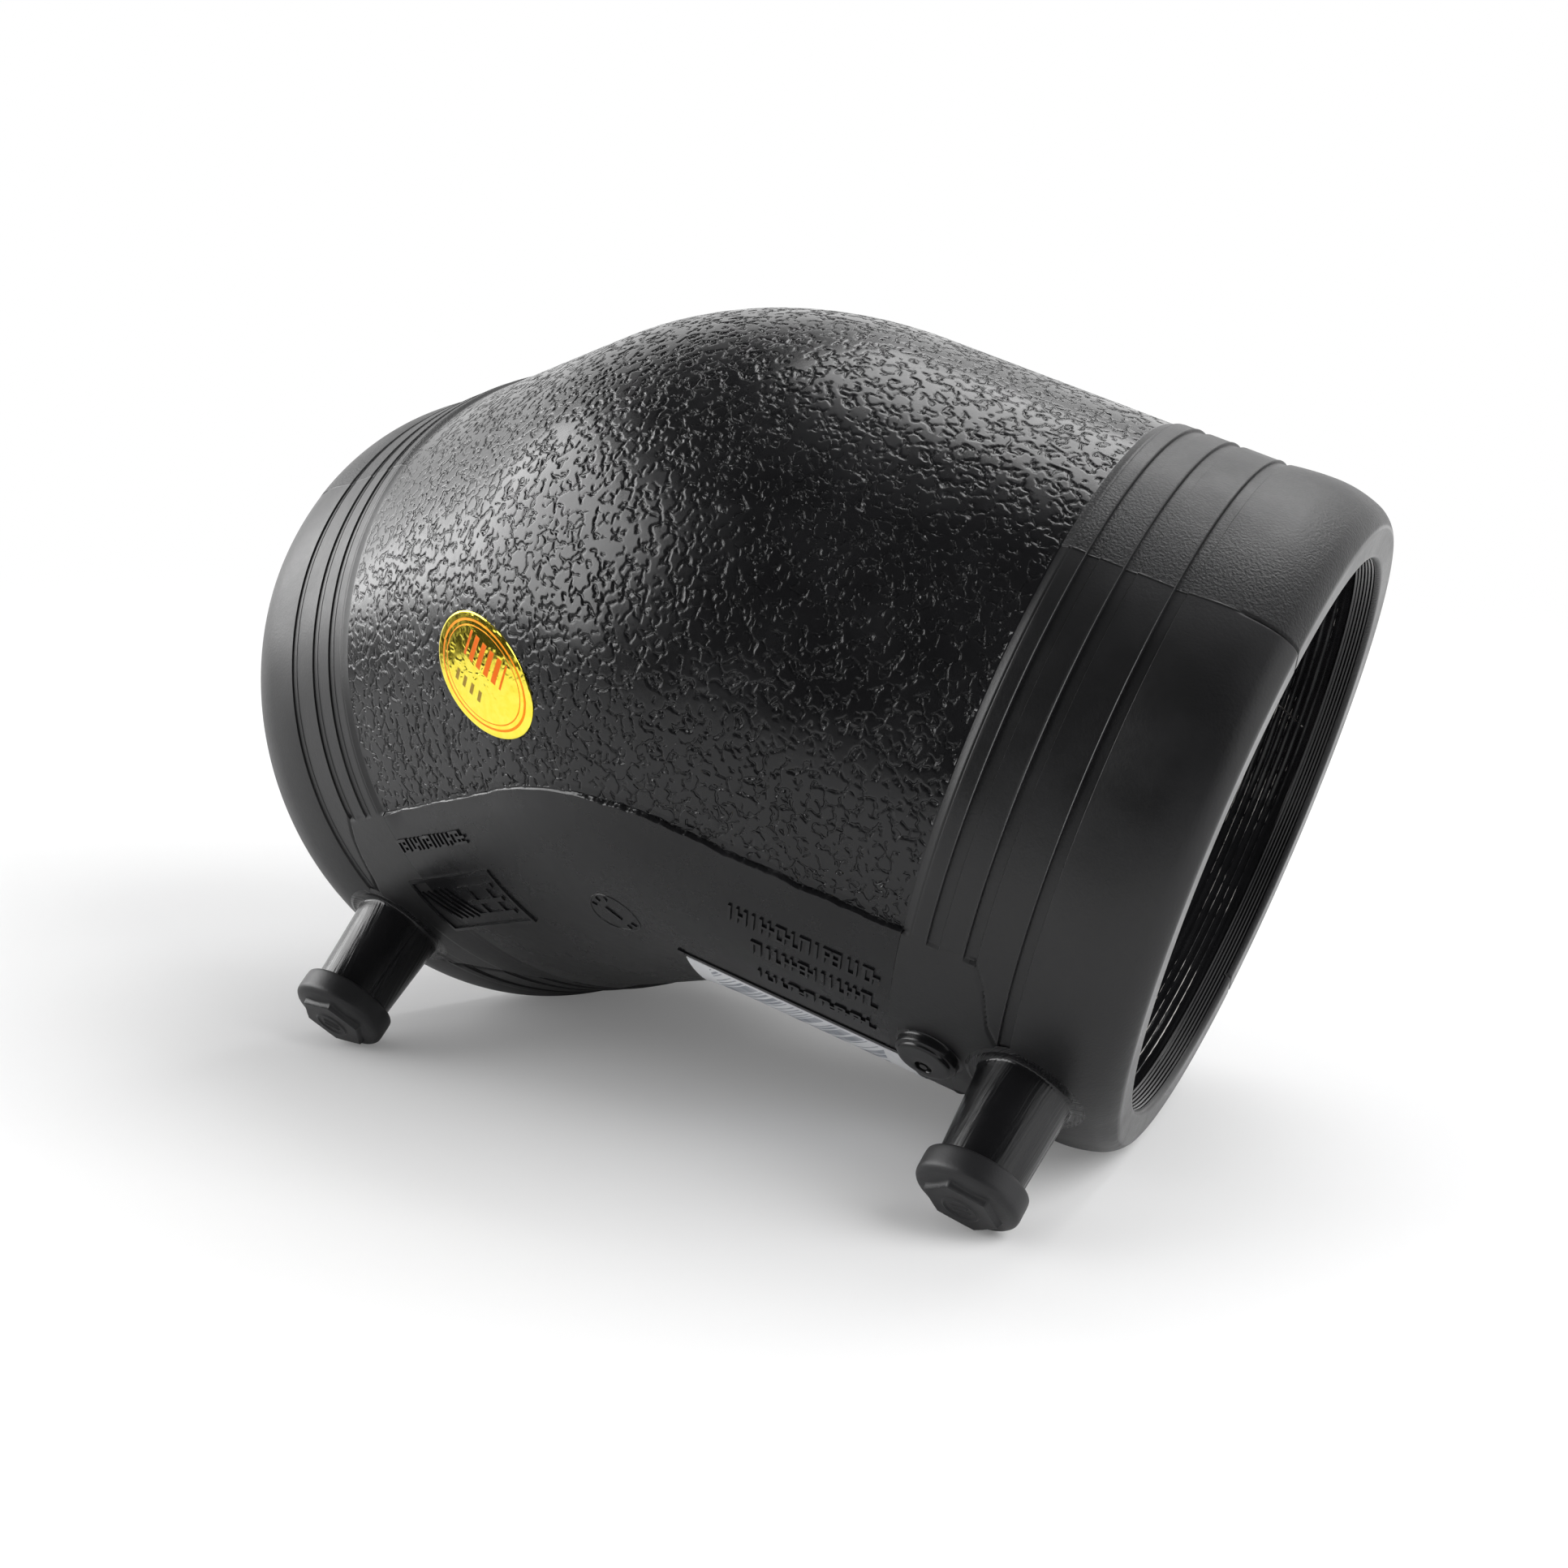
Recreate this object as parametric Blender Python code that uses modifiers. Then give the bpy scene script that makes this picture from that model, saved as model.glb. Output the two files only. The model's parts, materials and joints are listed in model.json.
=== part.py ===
"""Electrofusion elbow, 45 degrees, for 90 mm polyethylene pipe.

The elbow is first built in its own frame: the two socket axes cross at the
origin, +Y points to the outside of the bend and +Z to the terminal side. An
empty then tips it the way it lies on a table, on two terminal caps and two rims.
"""
import math

import bmesh
import bpy
from mathutils import Matrix, Vector

MM = 0.001
COLLECTION_NAME = "electrofusion_elbow"
CUTTER_COLLECTION_NAME = "electrofusion_elbow_cutters"

# Pipe and bend
PIPE_RADIUS = 45.0 * MM
PIPE_CLEARANCE = 0.3 * MM
SOCKET_WALL = 8.3 * MM
HALF_BEND = math.radians(22.5)
BEND_RADIUS = 20.0 * MM
INSIDE_FILLET = 12.0 * MM
FILLET_BLEND = 8.0 * MM
SOCKET_REACH = 82.25 * MM
INSERTION_DEPTH = 56.25 * MM
PIPE_STOP_STEP = 6.3 * MM

# Outside of a socket, each place measured back from its mouth
BAND_RISE = 0.4 * MM
GRAIN_END = 34.25 * MM
GRAIN_RAMP = 1.5 * MM
GROOVE_ENDS = (31.85 * MM, 26.15 * MM, 18.55 * MM)
GROOVE_WIDTH = 1.9 * MM
GROOVE_DEPTH = 0.38 * MM
GROOVE_STEP = 0.12 * MM
NOSE_START = 3.45 * MM
NOSE_END = 0.85 * MM
CROWN_RISE = 0.6 * MM
NOSE_START_DROP = 0.7 * MM
NOSE_END_DROP = 2.4 * MM
FACE_OUTER_DROP = 3.5 * MM

# Information panel on the terminal side, an angle from the outside of the bend
PANEL_TOP_ANGLE = math.radians(66.0)
PANEL_FOOT_ANGLE = math.radians(118.0)
PANEL_LIP_ANGLE = math.radians(0.8)

# Inside of a socket
MOUTH_CHAMFER = 0.7 * MM
WIRE_RADIUS = 0.4 * MM
WIRE_CLEARANCE = 0.3 * MM
WIRE_TURNS = 12
FIRST_TURN = 5.0 * MM
LAST_TURN_TO_STOP = 6.25 * MM
RECESS_START = 3.9 * MM
RECESS_SPARE = 2.0 * MM
LEAD_DEPTH = 1.7 * MM
LEAD_END_RISE = 0.4 * MM

# Terminals
TERMINAL_INSET = 13.75 * MM
TERMINAL_SIDE_ANGLE = math.radians(90.0)
PIN_RADIUS = 2.0 * MM
PIN_CLEARANCE = 0.3 * MM
PIN_COLLAR_RADIUS = 3.2 * MM
PIN_COLLAR_HEIGHT = 1.0 * MM
PIN_TIP_CHAMFER = 0.6 * MM
PIN_TIP_DEPTH = 4.0 * MM
SHROUD_HEIGHT = 18.0 * MM
SHROUD_BASE_RADIUS = 7.6 * MM
SHROUD_TIP_RADIUS = 6.5 * MM
SHROUD_WALL = 1.6 * MM
SHROUD_ROOT = 4.0 * MM
SHROUD_FLOOR_HEIGHT = 0.4 * MM
COLLAR_RADIUS = 8.9 * MM
COLLAR_HEIGHT = 0.5 * MM
CAP_CLEARANCE = 0.3 * MM
CAP_WALL = 1.45 * MM
CAP_EDGE_RISE = 0.4 * MM
CAP_SKIRT = 3.4 * MM
CAP_ROOF = 2.1 * MM
CAP_FLAT_RADIUS = 4.0 * MM
CAP_SHOULDER_SHARE = 0.2
CAP_PLUG_LENGTH = 2.4 * MM
CAP_PLUG_CLEARANCE = 0.3 * MM
CAP_PAD_RADIUS = 3.9 * MM
CAP_PAD_HEIGHT = 0.8 * MM

# Fusion indicator on the right socket
INDICATOR_INSET = 29.05 * MM
INDICATOR_OFFSET = -1.6 * MM
INDICATOR_RADIUS = 4.7 * MM
INDICATOR_HEIGHT = 2.0 * MM
INDICATOR_EDGE = 0.6 * MM
INDICATOR_ROOT = 4.0 * MM
INDICATOR_PIN_OFFSET = -1.6 * MM
INDICATOR_PIN_RADIUS = 1.1 * MM
INDICATOR_PIN_LENGTH = 6.0 * MM
INDICATOR_PIN_DEPTH = 0.5 * MM
INDICATOR_NUB_RADIUS = 0.65 * MM
INDICATOR_NUB_HEIGHT = 0.4 * MM
INDICATOR_CLEARANCE = 0.3 * MM

# Stickers
STICKER_THICKNESS = 0.15 * MM
STICKER_GAP = 0.3 * MM
SEAL_LENGTH = 25.5 * MM
SEAL_WIDTH = 17.5 * MM
SEAL_BEND_SHARE = -0.88
SEAL_AROUND = math.radians(45.4)
SEAL_TURN = math.radians(-43.0)
LABEL_START = 9.0 * MM
LABEL_END_INSET = 32.25 * MM
LABEL_WIDTH = 22.0 * MM
LABEL_AROUND = math.radians(111.0)

# Facets
RING_SIDES = 48
BEND_STEPS_OUTSIDE = 8
BEND_STEPS_INSIDE = 6
TURNED_SIDES = 24
SMALL_SIDES = 16
WIRE_TURN_POINTS = 22
LIP_SPARE_SHARE = 0.4
CROWN_SHARES = (0.0, 0.25, 0.5, 0.75)
NOSE_SHARES = (1.0, 0.85, 0.5)
ROUND_EDGE_SHARE = 1.0 - math.sqrt(0.5)
SEAL_GRID = (12, 8)
LABEL_GRID = (10, 8)
CUT_SPARE = 1.0 * MM
SMOOTH_ANGLE = math.radians(28.0)

# Search for the tilt at which the part lies on the table
TILT_LIMITS = (math.radians(5.0), math.radians(85.0))
TILT_TRIES = 60

# Sizes that follow from those above
BORE_RADIUS = PIPE_RADIUS + PIPE_CLEARANCE
BARREL_RADIUS = BORE_RADIUS + SOCKET_WALL
BAND_RADIUS = BARREL_RADIUS + BAND_RISE
STOP_STATION = SOCKET_REACH - INSERTION_DEPTH
FLOW_RADIUS = BORE_RADIUS - PIPE_STOP_STEP
COIL_RADIUS = BORE_RADIUS + 0.5 * WIRE_RADIUS
RECESS_RADIUS = COIL_RADIUS + WIRE_RADIUS + WIRE_CLEARANCE
COIL_OUTER_STATION = SOCKET_REACH - FIRST_TURN
COIL_INNER_STATION = STOP_STATION + LAST_TURN_TO_STOP
WIRE_PITCH = (COIL_OUTER_STATION - COIL_INNER_STATION) / WIRE_TURNS
RECESS_END_STATION = COIL_INNER_STATION - RECESS_SPARE
CHANNEL_HALF = WIRE_RADIUS + WIRE_CLEARANCE
TERMINAL_STATION = SOCKET_REACH - TERMINAL_INSET
LEAD_RADIUS = COIL_RADIUS + LEAD_DEPTH
LEAD_ROOF = LEAD_RADIUS + CHANNEL_HALF
LEAD_TOP = LEAD_ROOF + LEAD_END_RISE
PIN_FOOT = LEAD_TOP + WIRE_CLEARANCE
SHROUD_FOOT = BAND_RADIUS - SHROUD_ROOT
SHROUD_TOP = BAND_RADIUS + SHROUD_HEIGHT
POCKET_RADIUS = SHROUD_TIP_RADIUS - SHROUD_WALL
POCKET_FLOOR = BAND_RADIUS + SHROUD_FLOOR_HEIGHT
PIN_COLLAR_FOOT = POCKET_FLOOR + PIN_CLEARANCE
PIN_TOP = SHROUD_TOP - PIN_TIP_DEPTH
CAP_CAVITY_RADIUS = SHROUD_TIP_RADIUS + CAP_CLEARANCE
CAP_RADIUS = CAP_CAVITY_RADIUS + CAP_WALL
CAP_CEILING = SHROUD_TOP + CAP_CLEARANCE
CAP_SKIRT_TOP = SHROUD_TOP + CAP_EDGE_RISE
CAP_FOOT = CAP_SKIRT_TOP - CAP_SKIRT
CAP_TOP = CAP_SKIRT_TOP + CAP_ROOF
CAP_PLUG_RADIUS = POCKET_RADIUS - CAP_PLUG_CLEARANCE
INDICATOR_STATION = SOCKET_REACH - INDICATOR_INSET
INDICATOR_TOP = BAND_RADIUS + INDICATOR_HEIGHT
INDICATOR_PIN_TOP = INDICATOR_TOP - INDICATOR_PIN_DEPTH
INDICATOR_PIN_FOOT = INDICATOR_PIN_TOP - INDICATOR_PIN_LENGTH
LABEL_END = SOCKET_REACH - LABEL_END_INSET
LABEL_LENGTH = LABEL_END - LABEL_START
LABEL_STATION = 0.5 * (LABEL_START + LABEL_END)


def clear_scene():
    for obj in list(bpy.data.objects):
        bpy.data.objects.remove(obj, do_unlink=True)


def new_collection(name):
    collection = bpy.data.collections.new(name)
    bpy.context.scene.collection.children.link(collection)
    return collection


def plastic_or_metal(name, colour, roughness, metallic=0.0):
    material = bpy.data.materials.new(name)
    material.use_nodes = True
    shader = material.node_tree.nodes["Principled BSDF"]
    shader.inputs["Base Color"].default_value = (*colour, 1.0)
    shader.inputs["Roughness"].default_value = roughness
    shader.inputs["Metallic"].default_value = metallic
    return material


def new_object(name, data, collection, parent, material=None):
    obj = bpy.data.objects.new(name, data)
    collection.objects.link(obj)
    obj.parent = parent
    if material is not None:
        data.materials.append(material)
    return obj


def mesh_from_bmesh(name, bm):
    mesh = bpy.data.meshes.new(name)
    bm.to_mesh(mesh)
    bm.free()
    return mesh


def mark_as_cutter(obj):
    obj.hide_render = True
    obj.display_type = "WIRE"
    return obj


def socket_axis(side):
    return Vector((side * math.cos(HALF_BEND), -math.sin(HALF_BEND), 0.0))


def socket_outward(side):
    return Vector((side * math.sin(HALF_BEND), math.cos(HALF_BEND), 0.0))


def socket_place(side, station, offset=0.0):
    """Point at a station along a socket axis, moved sideways to the outside of the bend."""
    return socket_axis(side) * station + socket_outward(side) * offset


def fillet_radius(offset):
    """Bend radius of a lengthwise line, never tighter than the inside fillet."""
    along = BEND_RADIUS + offset
    spread = math.hypot(along - INSIDE_FILLET, FILLET_BLEND)
    return 0.5 * (along + INSIDE_FILLET + spread)


def straight_point(station, radius, angle):
    """Point of a tube at a signed station; the sign chooses the socket."""
    side = 1.0 if station > 0.0 else -1.0
    place = socket_place(side, abs(station), radius * math.cos(angle))
    return place + Vector((0.0, 0.0, radius * math.sin(angle)))


def bend_point(share, radius, angle):
    """Point on the bend, share running from -1 at the left tangent to 1 at the right."""
    offset = radius * math.cos(angle)
    bend = fillet_radius(offset)
    turn = HALF_BEND * share
    centre = (offset - bend) / math.cos(HALF_BEND)
    return Vector((bend * math.sin(turn), centre + bend * math.cos(turn), radius * math.sin(angle)))


def ring_angles():
    """Even angles around a tube, with the panel's two lips added as close pairs."""
    step = 2.0 * math.pi / RING_SIDES
    lips = []
    for lip in (PANEL_TOP_ANGLE, PANEL_FOOT_ANGLE):
        lips += [lip - 0.5 * PANEL_LIP_ANGLE, lip + 0.5 * PANEL_LIP_ANGLE]
    even = [index * step for index in range(RING_SIDES)]
    kept = [angle for angle in even if min(abs(angle - lip) for lip in lips) > LIP_SPARE_SHARE * step]
    return sorted(kept + lips)


def on_panel(angle):
    return PANEL_TOP_ANGLE < angle < PANEL_FOOT_ANGLE


def groove_stations():
    """Outline of the three witness grooves: a sharp inner step and a floor that rises outward."""
    outline = []
    for end in reversed(GROOVE_ENDS):
        inner = SOCKET_REACH - end
        outline += [
            (inner + GROOVE_WIDTH, BAND_RADIUS, 0.0),
            (inner + GROOVE_STEP, BAND_RADIUS, GROOVE_DEPTH),
            (inner, BAND_RADIUS, 0.0),
        ]
    return outline


def crown_stations():
    """Crowned end band from the nose back to the outermost groove."""
    start = SOCKET_REACH - NOSE_START
    end = SOCKET_REACH - GROOVE_ENDS[-1] + GROOVE_WIDTH
    top = BAND_RADIUS + CROWN_RISE
    outline = []
    for share in CROWN_SHARES:
        fall = NOSE_START_DROP + CROWN_RISE if share < 0.5 else CROWN_RISE
        radius = top - fall * (1.0 - 2.0 * share) ** 2
        outline.append((start + (end - start) * share, radius, 0.0))
    return outline


def nose_stations():
    """Rounded nose between the end face and the crowned band."""
    start = SOCKET_REACH - NOSE_START
    length = NOSE_START - NOSE_END
    fall = NOSE_END_DROP - NOSE_START_DROP
    outline = []
    for share in NOSE_SHARES:
        radius = BAND_RADIUS - NOSE_START_DROP - fall * (1.0 - math.sqrt(1.0 - share * share))
        outline.append((start + length * share, radius, 0.0))
    return outline


def outer_outline():
    """Stations, radii and groove depths of one socket's outside, from its mouth inward."""
    face = [
        (SOCKET_REACH, BORE_RADIUS + MOUTH_CHAMFER, 0.0),
        (SOCKET_REACH, BAND_RADIUS - FACE_OUTER_DROP, 0.0),
    ]
    grain = [(SOCKET_REACH - GRAIN_END, BAND_RADIUS, 0.0)]
    return face + nose_stations() + crown_stations() + groove_stations() + grain


def inner_outline():
    """Stations and radii of one socket's inside, from its mouth inward to the pipe stop."""
    recess_start = SOCKET_REACH - RECESS_START
    return [
        (SOCKET_REACH - MOUTH_CHAMFER, BORE_RADIUS),
        (recess_start, BORE_RADIUS),
        (recess_start, RECESS_RADIUS),
        (RECESS_END_STATION, RECESS_RADIUS),
        (RECESS_END_STATION, BORE_RADIUS),
        (STOP_STATION, BORE_RADIUS),
        (STOP_STATION, FLOW_RADIUS),
    ]


def outer_ring(side, station, radius, depth, angles):
    points = []
    for angle in angles:
        cut = 0.0 if on_panel(angle) else depth
        points.append(straight_point(side * station, radius - cut, angle))
    return points


def inner_ring(side, station, radius, angles):
    return [straight_point(side * station, radius, angle) for angle in angles]


def barrel_ring(place, angles):
    """One ring of the grained barrel, whose panel stands level with the smooth end bands."""
    return [place(BAND_RADIUS if on_panel(angle) else BARREL_RADIUS, angle) for angle in angles]


def shell_rings():
    """Rings of the whole shell: along the outside, round one mouth, and back through the bore."""
    angles = ring_angles()
    ramp = SOCKET_REACH - GRAIN_END - GRAIN_RAMP
    outer = outer_outline()
    inner = inner_outline()
    rings = [outer_ring(1, *station, angles) for station in outer]
    rings.append(barrel_ring(lambda radius, angle: straight_point(ramp, radius, angle), angles))
    for index in range(BEND_STEPS_OUTSIDE + 1):
        share = 1.0 - 2.0 * index / BEND_STEPS_OUTSIDE
        rings.append(barrel_ring(lambda radius, angle: bend_point(share, radius, angle), angles))
    rings.append(barrel_ring(lambda radius, angle: straight_point(-ramp, radius, angle), angles))
    rings += [outer_ring(-1, *station, angles) for station in reversed(outer)]
    rings += [inner_ring(-1, *station, angles) for station in inner]
    for index in range(BEND_STEPS_INSIDE + 1):
        share = 2.0 * index / BEND_STEPS_INSIDE - 1.0
        rings.append([bend_point(share, FLOW_RADIUS, angle) for angle in angles])
    rings += [inner_ring(1, *station, angles) for station in reversed(inner)]
    return rings


def shell_mesh():
    """Loft through the rings. Each lengthwise line has its own bend, so no screw makes it."""
    bm = bmesh.new()
    rings = [[bm.verts.new(point) for point in ring] for ring in shell_rings()]
    for ring, following in zip(rings, rings[1:] + rings[:1]):
        for index in range(len(ring)):
            after = (index + 1) % len(ring)
            bm.faces.new((ring[index], ring[after], following[after], following[index]))
    bmesh.ops.recalc_face_normals(bm, faces=bm.faces)
    return mesh_from_bmesh("elbow_shell", bm)


def turned(name, outline, collection, parent, place, sides, material=None):
    """Solid turned about an axis along +Z; the outline runs down its outer side."""
    bm = bmesh.new()
    verts = [bm.verts.new((radius, 0.0, height)) for radius, height in outline]
    for upper, lower in zip(verts, verts[1:]):
        bm.edges.new((upper, lower))
    obj = new_object(name, mesh_from_bmesh(name, bm), collection, parent, material)
    obj.location = place
    screw = obj.modifiers.new("turn", "SCREW")
    screw.axis = "Z"
    screw.steps = sides
    screw.render_steps = sides
    screw.use_merge_vertices = True
    screw.merge_threshold = 0.00001
    screw.use_smooth_shade = True
    return obj


def flat_plate(name, corners, height, thickness, collection, parent):
    """Flat outline given by its corners, as a solid with its middle at a height."""
    curve = bpy.data.curves.new(name + "_outline", "CURVE")
    curve.dimensions = "2D"
    curve.fill_mode = "BOTH"
    curve.extrude = 0.5 * thickness
    spline = curve.splines.new("POLY")
    spline.points.add(len(corners) - 1)
    for point, corner in zip(spline.points, corners):
        point.co = (corner[0], corner[1], 0.0, 1.0)
    spline.use_cyclic_u = True
    return solid_from_curve(name, curve, Matrix.Translation((0.0, 0.0, height)), collection, parent)


def solid_from_curve(name, curve, place, collection, parent, material=None):
    """Turn a curve into a closed mesh object with its caps welded."""
    guide = bpy.data.objects.new(name + "_curve", curve)
    collection.objects.link(guide)
    depsgraph = bpy.context.evaluated_depsgraph_get()
    mesh = bpy.data.meshes.new_from_object(guide.evaluated_get(depsgraph))
    mesh.name = name
    bpy.data.objects.remove(guide, do_unlink=True)
    bm = bmesh.new()
    bm.from_mesh(mesh)
    bmesh.ops.remove_doubles(bm, verts=bm.verts, dist=0.000001)
    bmesh.ops.recalc_face_normals(bm, faces=bm.faces)
    bm.to_mesh(mesh)
    bm.free()
    obj = new_object(name, mesh, collection, parent, material)
    obj.matrix_local = place
    return obj


def combine(obj, other, operation):
    """Join or cut with another closed solid."""
    modifier = obj.modifiers.new(other.name, "BOOLEAN")
    modifier.operation = operation
    modifier.solver = "EXACT"
    modifier.object = other
    mark_as_cutter(other)


def shade_by_angle(obj):
    """Smooth the round faces and keep the crisp edges, after all other modifiers."""
    depsgraph = bpy.context.evaluated_depsgraph_get()
    mesh = bpy.data.meshes.new_from_object(obj.evaluated_get(depsgraph))
    mesh.shade_smooth()
    mesh.set_sharp_from_angle(angle=SMOOTH_ANGLE)
    mesh.name = obj.name
    obj.modifiers.clear()
    obj.data = mesh


def shroud_outline():
    """Tapered terminal shroud with a low collar at its root."""
    return [
        (0.0, SHROUD_TOP),
        (SHROUD_TIP_RADIUS, SHROUD_TOP),
        (SHROUD_BASE_RADIUS, BAND_RADIUS + COLLAR_HEIGHT),
        (COLLAR_RADIUS, BAND_RADIUS + COLLAR_HEIGHT),
        (COLLAR_RADIUS, SHROUD_FOOT),
        (0.0, SHROUD_FOOT),
    ]


def terminal_pocket_outline():
    """Wide pocket inside the shroud, and the narrow socket that holds the pin's shank."""
    socket_radius = PIN_RADIUS + PIN_CLEARANCE
    return [
        (0.0, SHROUD_TOP + CUT_SPARE),
        (POCKET_RADIUS, SHROUD_TOP + CUT_SPARE),
        (POCKET_RADIUS, POCKET_FLOOR),
        (socket_radius, POCKET_FLOOR),
        (socket_radius, LEAD_RADIUS),
        (0.0, LEAD_RADIUS),
    ]


def indicator_boss_outline():
    """Round boss with a softened top edge."""
    corner = ROUND_EDGE_SHARE * INDICATOR_EDGE
    return [
        (0.0, INDICATOR_TOP),
        (INDICATOR_RADIUS - INDICATOR_EDGE, INDICATOR_TOP),
        (INDICATOR_RADIUS - corner, INDICATOR_TOP - corner),
        (INDICATOR_RADIUS, INDICATOR_TOP - INDICATOR_EDGE),
        (INDICATOR_RADIUS, BAND_RADIUS - INDICATOR_ROOT),
        (0.0, BAND_RADIUS - INDICATOR_ROOT),
    ]


def indicator_hole_outline():
    hole_radius = INDICATOR_PIN_RADIUS + INDICATOR_CLEARANCE
    hole_floor = INDICATOR_PIN_FOOT - INDICATOR_CLEARANCE
    return [
        (0.0, INDICATOR_TOP + CUT_SPARE),
        (hole_radius, INDICATOR_TOP + CUT_SPARE),
        (hole_radius, hole_floor),
        (0.0, hole_floor),
    ]


def lead_slot(side, collection, parent):
    """Slot under the coil's outer turns, from the terminal to the first turn."""
    bm = bmesh.new()
    bmesh.ops.create_cube(bm, size=1.0)
    length = COIL_OUTER_STATION - TERMINAL_STATION + 2.0 * CHANNEL_HALF
    floor = COIL_RADIUS
    size = Vector((length, 2.0 * CHANNEL_HALF, LEAD_ROOF - floor))
    bmesh.ops.scale(bm, vec=size, verts=bm.verts)
    name = "lead_slot_" + side_name(side)
    slot = new_object(name, mesh_from_bmesh(name, bm), collection, parent)
    middle = 0.5 * (COIL_OUTER_STATION + TERMINAL_STATION)
    slot.location = socket_place(side, middle) + Vector((0.0, 0.0, 0.5 * (LEAD_ROOF + floor)))
    slot.rotation_euler.z = -side * HALF_BEND
    return slot


def link_tunnel(collection, parent):
    """Bent tunnel through the wall, which joins the two coil recesses."""
    reach = COIL_INNER_STATION
    mitre = CHANNEL_HALF / math.cos(HALF_BEND)
    corners = [
        socket_place(1, reach, CHANNEL_HALF),
        Vector((0.0, mitre, 0.0)),
        socket_place(-1, reach, CHANNEL_HALF),
        socket_place(-1, reach, -CHANNEL_HALF),
        Vector((0.0, -mitre, 0.0)),
        socket_place(1, reach, -CHANNEL_HALF),
    ]
    return flat_plate("link_tunnel", corners, COIL_RADIUS, 2.0 * CHANNEL_HALF, collection, parent)


def side_name(side):
    return "right" if side > 0 else "left"


def make_body(parts, cutters, parent, material):
    """Moulded body: shell, shrouds and boss joined, then every pocket and wire way cut."""
    body = new_object("elbow_body", shell_mesh(), parts, parent, material)
    joined = []
    cuts = [link_tunnel(cutters, parent)]
    for side in (1, -1):
        end = side_name(side)
        place = socket_place(side, TERMINAL_STATION)
        joined.append(turned("shroud_" + end, shroud_outline(), cutters, parent, place, TURNED_SIDES))
        cuts.append(turned("terminal_pocket_" + end, terminal_pocket_outline(), cutters, parent,
                           place, TURNED_SIDES))
        cuts.append(lead_slot(side, cutters, parent))
    boss_place = socket_place(1, INDICATOR_STATION, INDICATOR_OFFSET)
    joined.append(turned("indicator_boss", indicator_boss_outline(), cutters, parent,
                         boss_place, TURNED_SIDES))
    cuts.append(turned("indicator_hole", indicator_hole_outline(), cutters, parent,
                       indicator_pin_place(), SMALL_SIDES))
    for other in joined:
        combine(body, other, "UNION")
    for other in cuts:
        combine(body, other, "DIFFERENCE")
    return body


def indicator_pin_place():
    offset = INDICATOR_OFFSET + INDICATOR_PIN_OFFSET
    return socket_place(1, INDICATOR_STATION, offset)


def half_coil_points(side):
    """Wire from the middle of the bend, round one socket and up into its terminal."""
    points = []
    for index in range(WIRE_TURNS * WIRE_TURN_POINTS + 1):
        turn = index / WIRE_TURN_POINTS
        station = COIL_INNER_STATION + WIRE_PITCH * turn
        angle = TERMINAL_SIDE_ANGLE + 2.0 * math.pi * turn
        points.append(straight_point(side * station, COIL_RADIUS, angle))
    lead = [
        (COIL_OUTER_STATION, LEAD_RADIUS),
        (TERMINAL_STATION, LEAD_RADIUS),
        (TERMINAL_STATION, LEAD_TOP),
    ]
    points += [straight_point(side * station, height, TERMINAL_SIDE_ANGLE)
               for station, height in lead]
    return points


def make_coil(parts, parent, material):
    """One resistance wire: terminal, coil, link through the bend, coil, terminal."""
    middle = [Vector((0.0, 0.0, COIL_RADIUS))]
    route = list(reversed(half_coil_points(-1))) + middle + half_coil_points(1)
    curve = bpy.data.curves.new("heating_coil_route", "CURVE")
    curve.dimensions = "3D"
    curve.bevel_depth = WIRE_RADIUS
    curve.bevel_resolution = 0
    curve.use_fill_caps = True
    spline = curve.splines.new("POLY")
    spline.points.add(len(route) - 1)
    for point, place in zip(spline.points, route):
        point.co = (*place, 1.0)
    return solid_from_curve("heating_coil", curve, Matrix.Identity(4), parts, parent, material)


def make_pin(side, parts, parent, material):
    """Terminal pin with a collar that sits just off the pocket floor."""
    collar_top = PIN_COLLAR_FOOT + PIN_COLLAR_HEIGHT
    outline = [
        (0.0, PIN_TOP),
        (PIN_RADIUS - PIN_TIP_CHAMFER, PIN_TOP),
        (PIN_RADIUS, PIN_TOP - PIN_TIP_CHAMFER),
        (PIN_RADIUS, collar_top),
        (PIN_COLLAR_RADIUS, collar_top),
        (PIN_COLLAR_RADIUS, PIN_COLLAR_FOOT),
        (PIN_RADIUS, PIN_COLLAR_FOOT),
        (PIN_RADIUS, PIN_FOOT),
        (0.0, PIN_FOOT),
    ]
    place = socket_place(side, TERMINAL_STATION)
    name = "terminal_pin_" + side_name(side)
    return turned(name, outline, parts, parent, place, SMALL_SIDES, material)


def cap_pad(side, cutters, parent):
    """Raised six-sided grip pad on the crown of a cap."""
    bm = bmesh.new()
    root = 0.5 * CAP_ROOF
    depth = CAP_PAD_HEIGHT + root
    bmesh.ops.create_cone(bm, cap_ends=True, segments=6, radius1=CAP_PAD_RADIUS,
                          radius2=CAP_PAD_RADIUS, depth=depth)
    name = "cap_pad_" + side_name(side)
    pad = new_object(name, mesh_from_bmesh(name, bm), cutters, parent)
    height = CAP_TOP - root + 0.5 * depth
    pad.location = socket_place(side, TERMINAL_STATION) + Vector((0.0, 0.0, height))
    return pad


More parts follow.
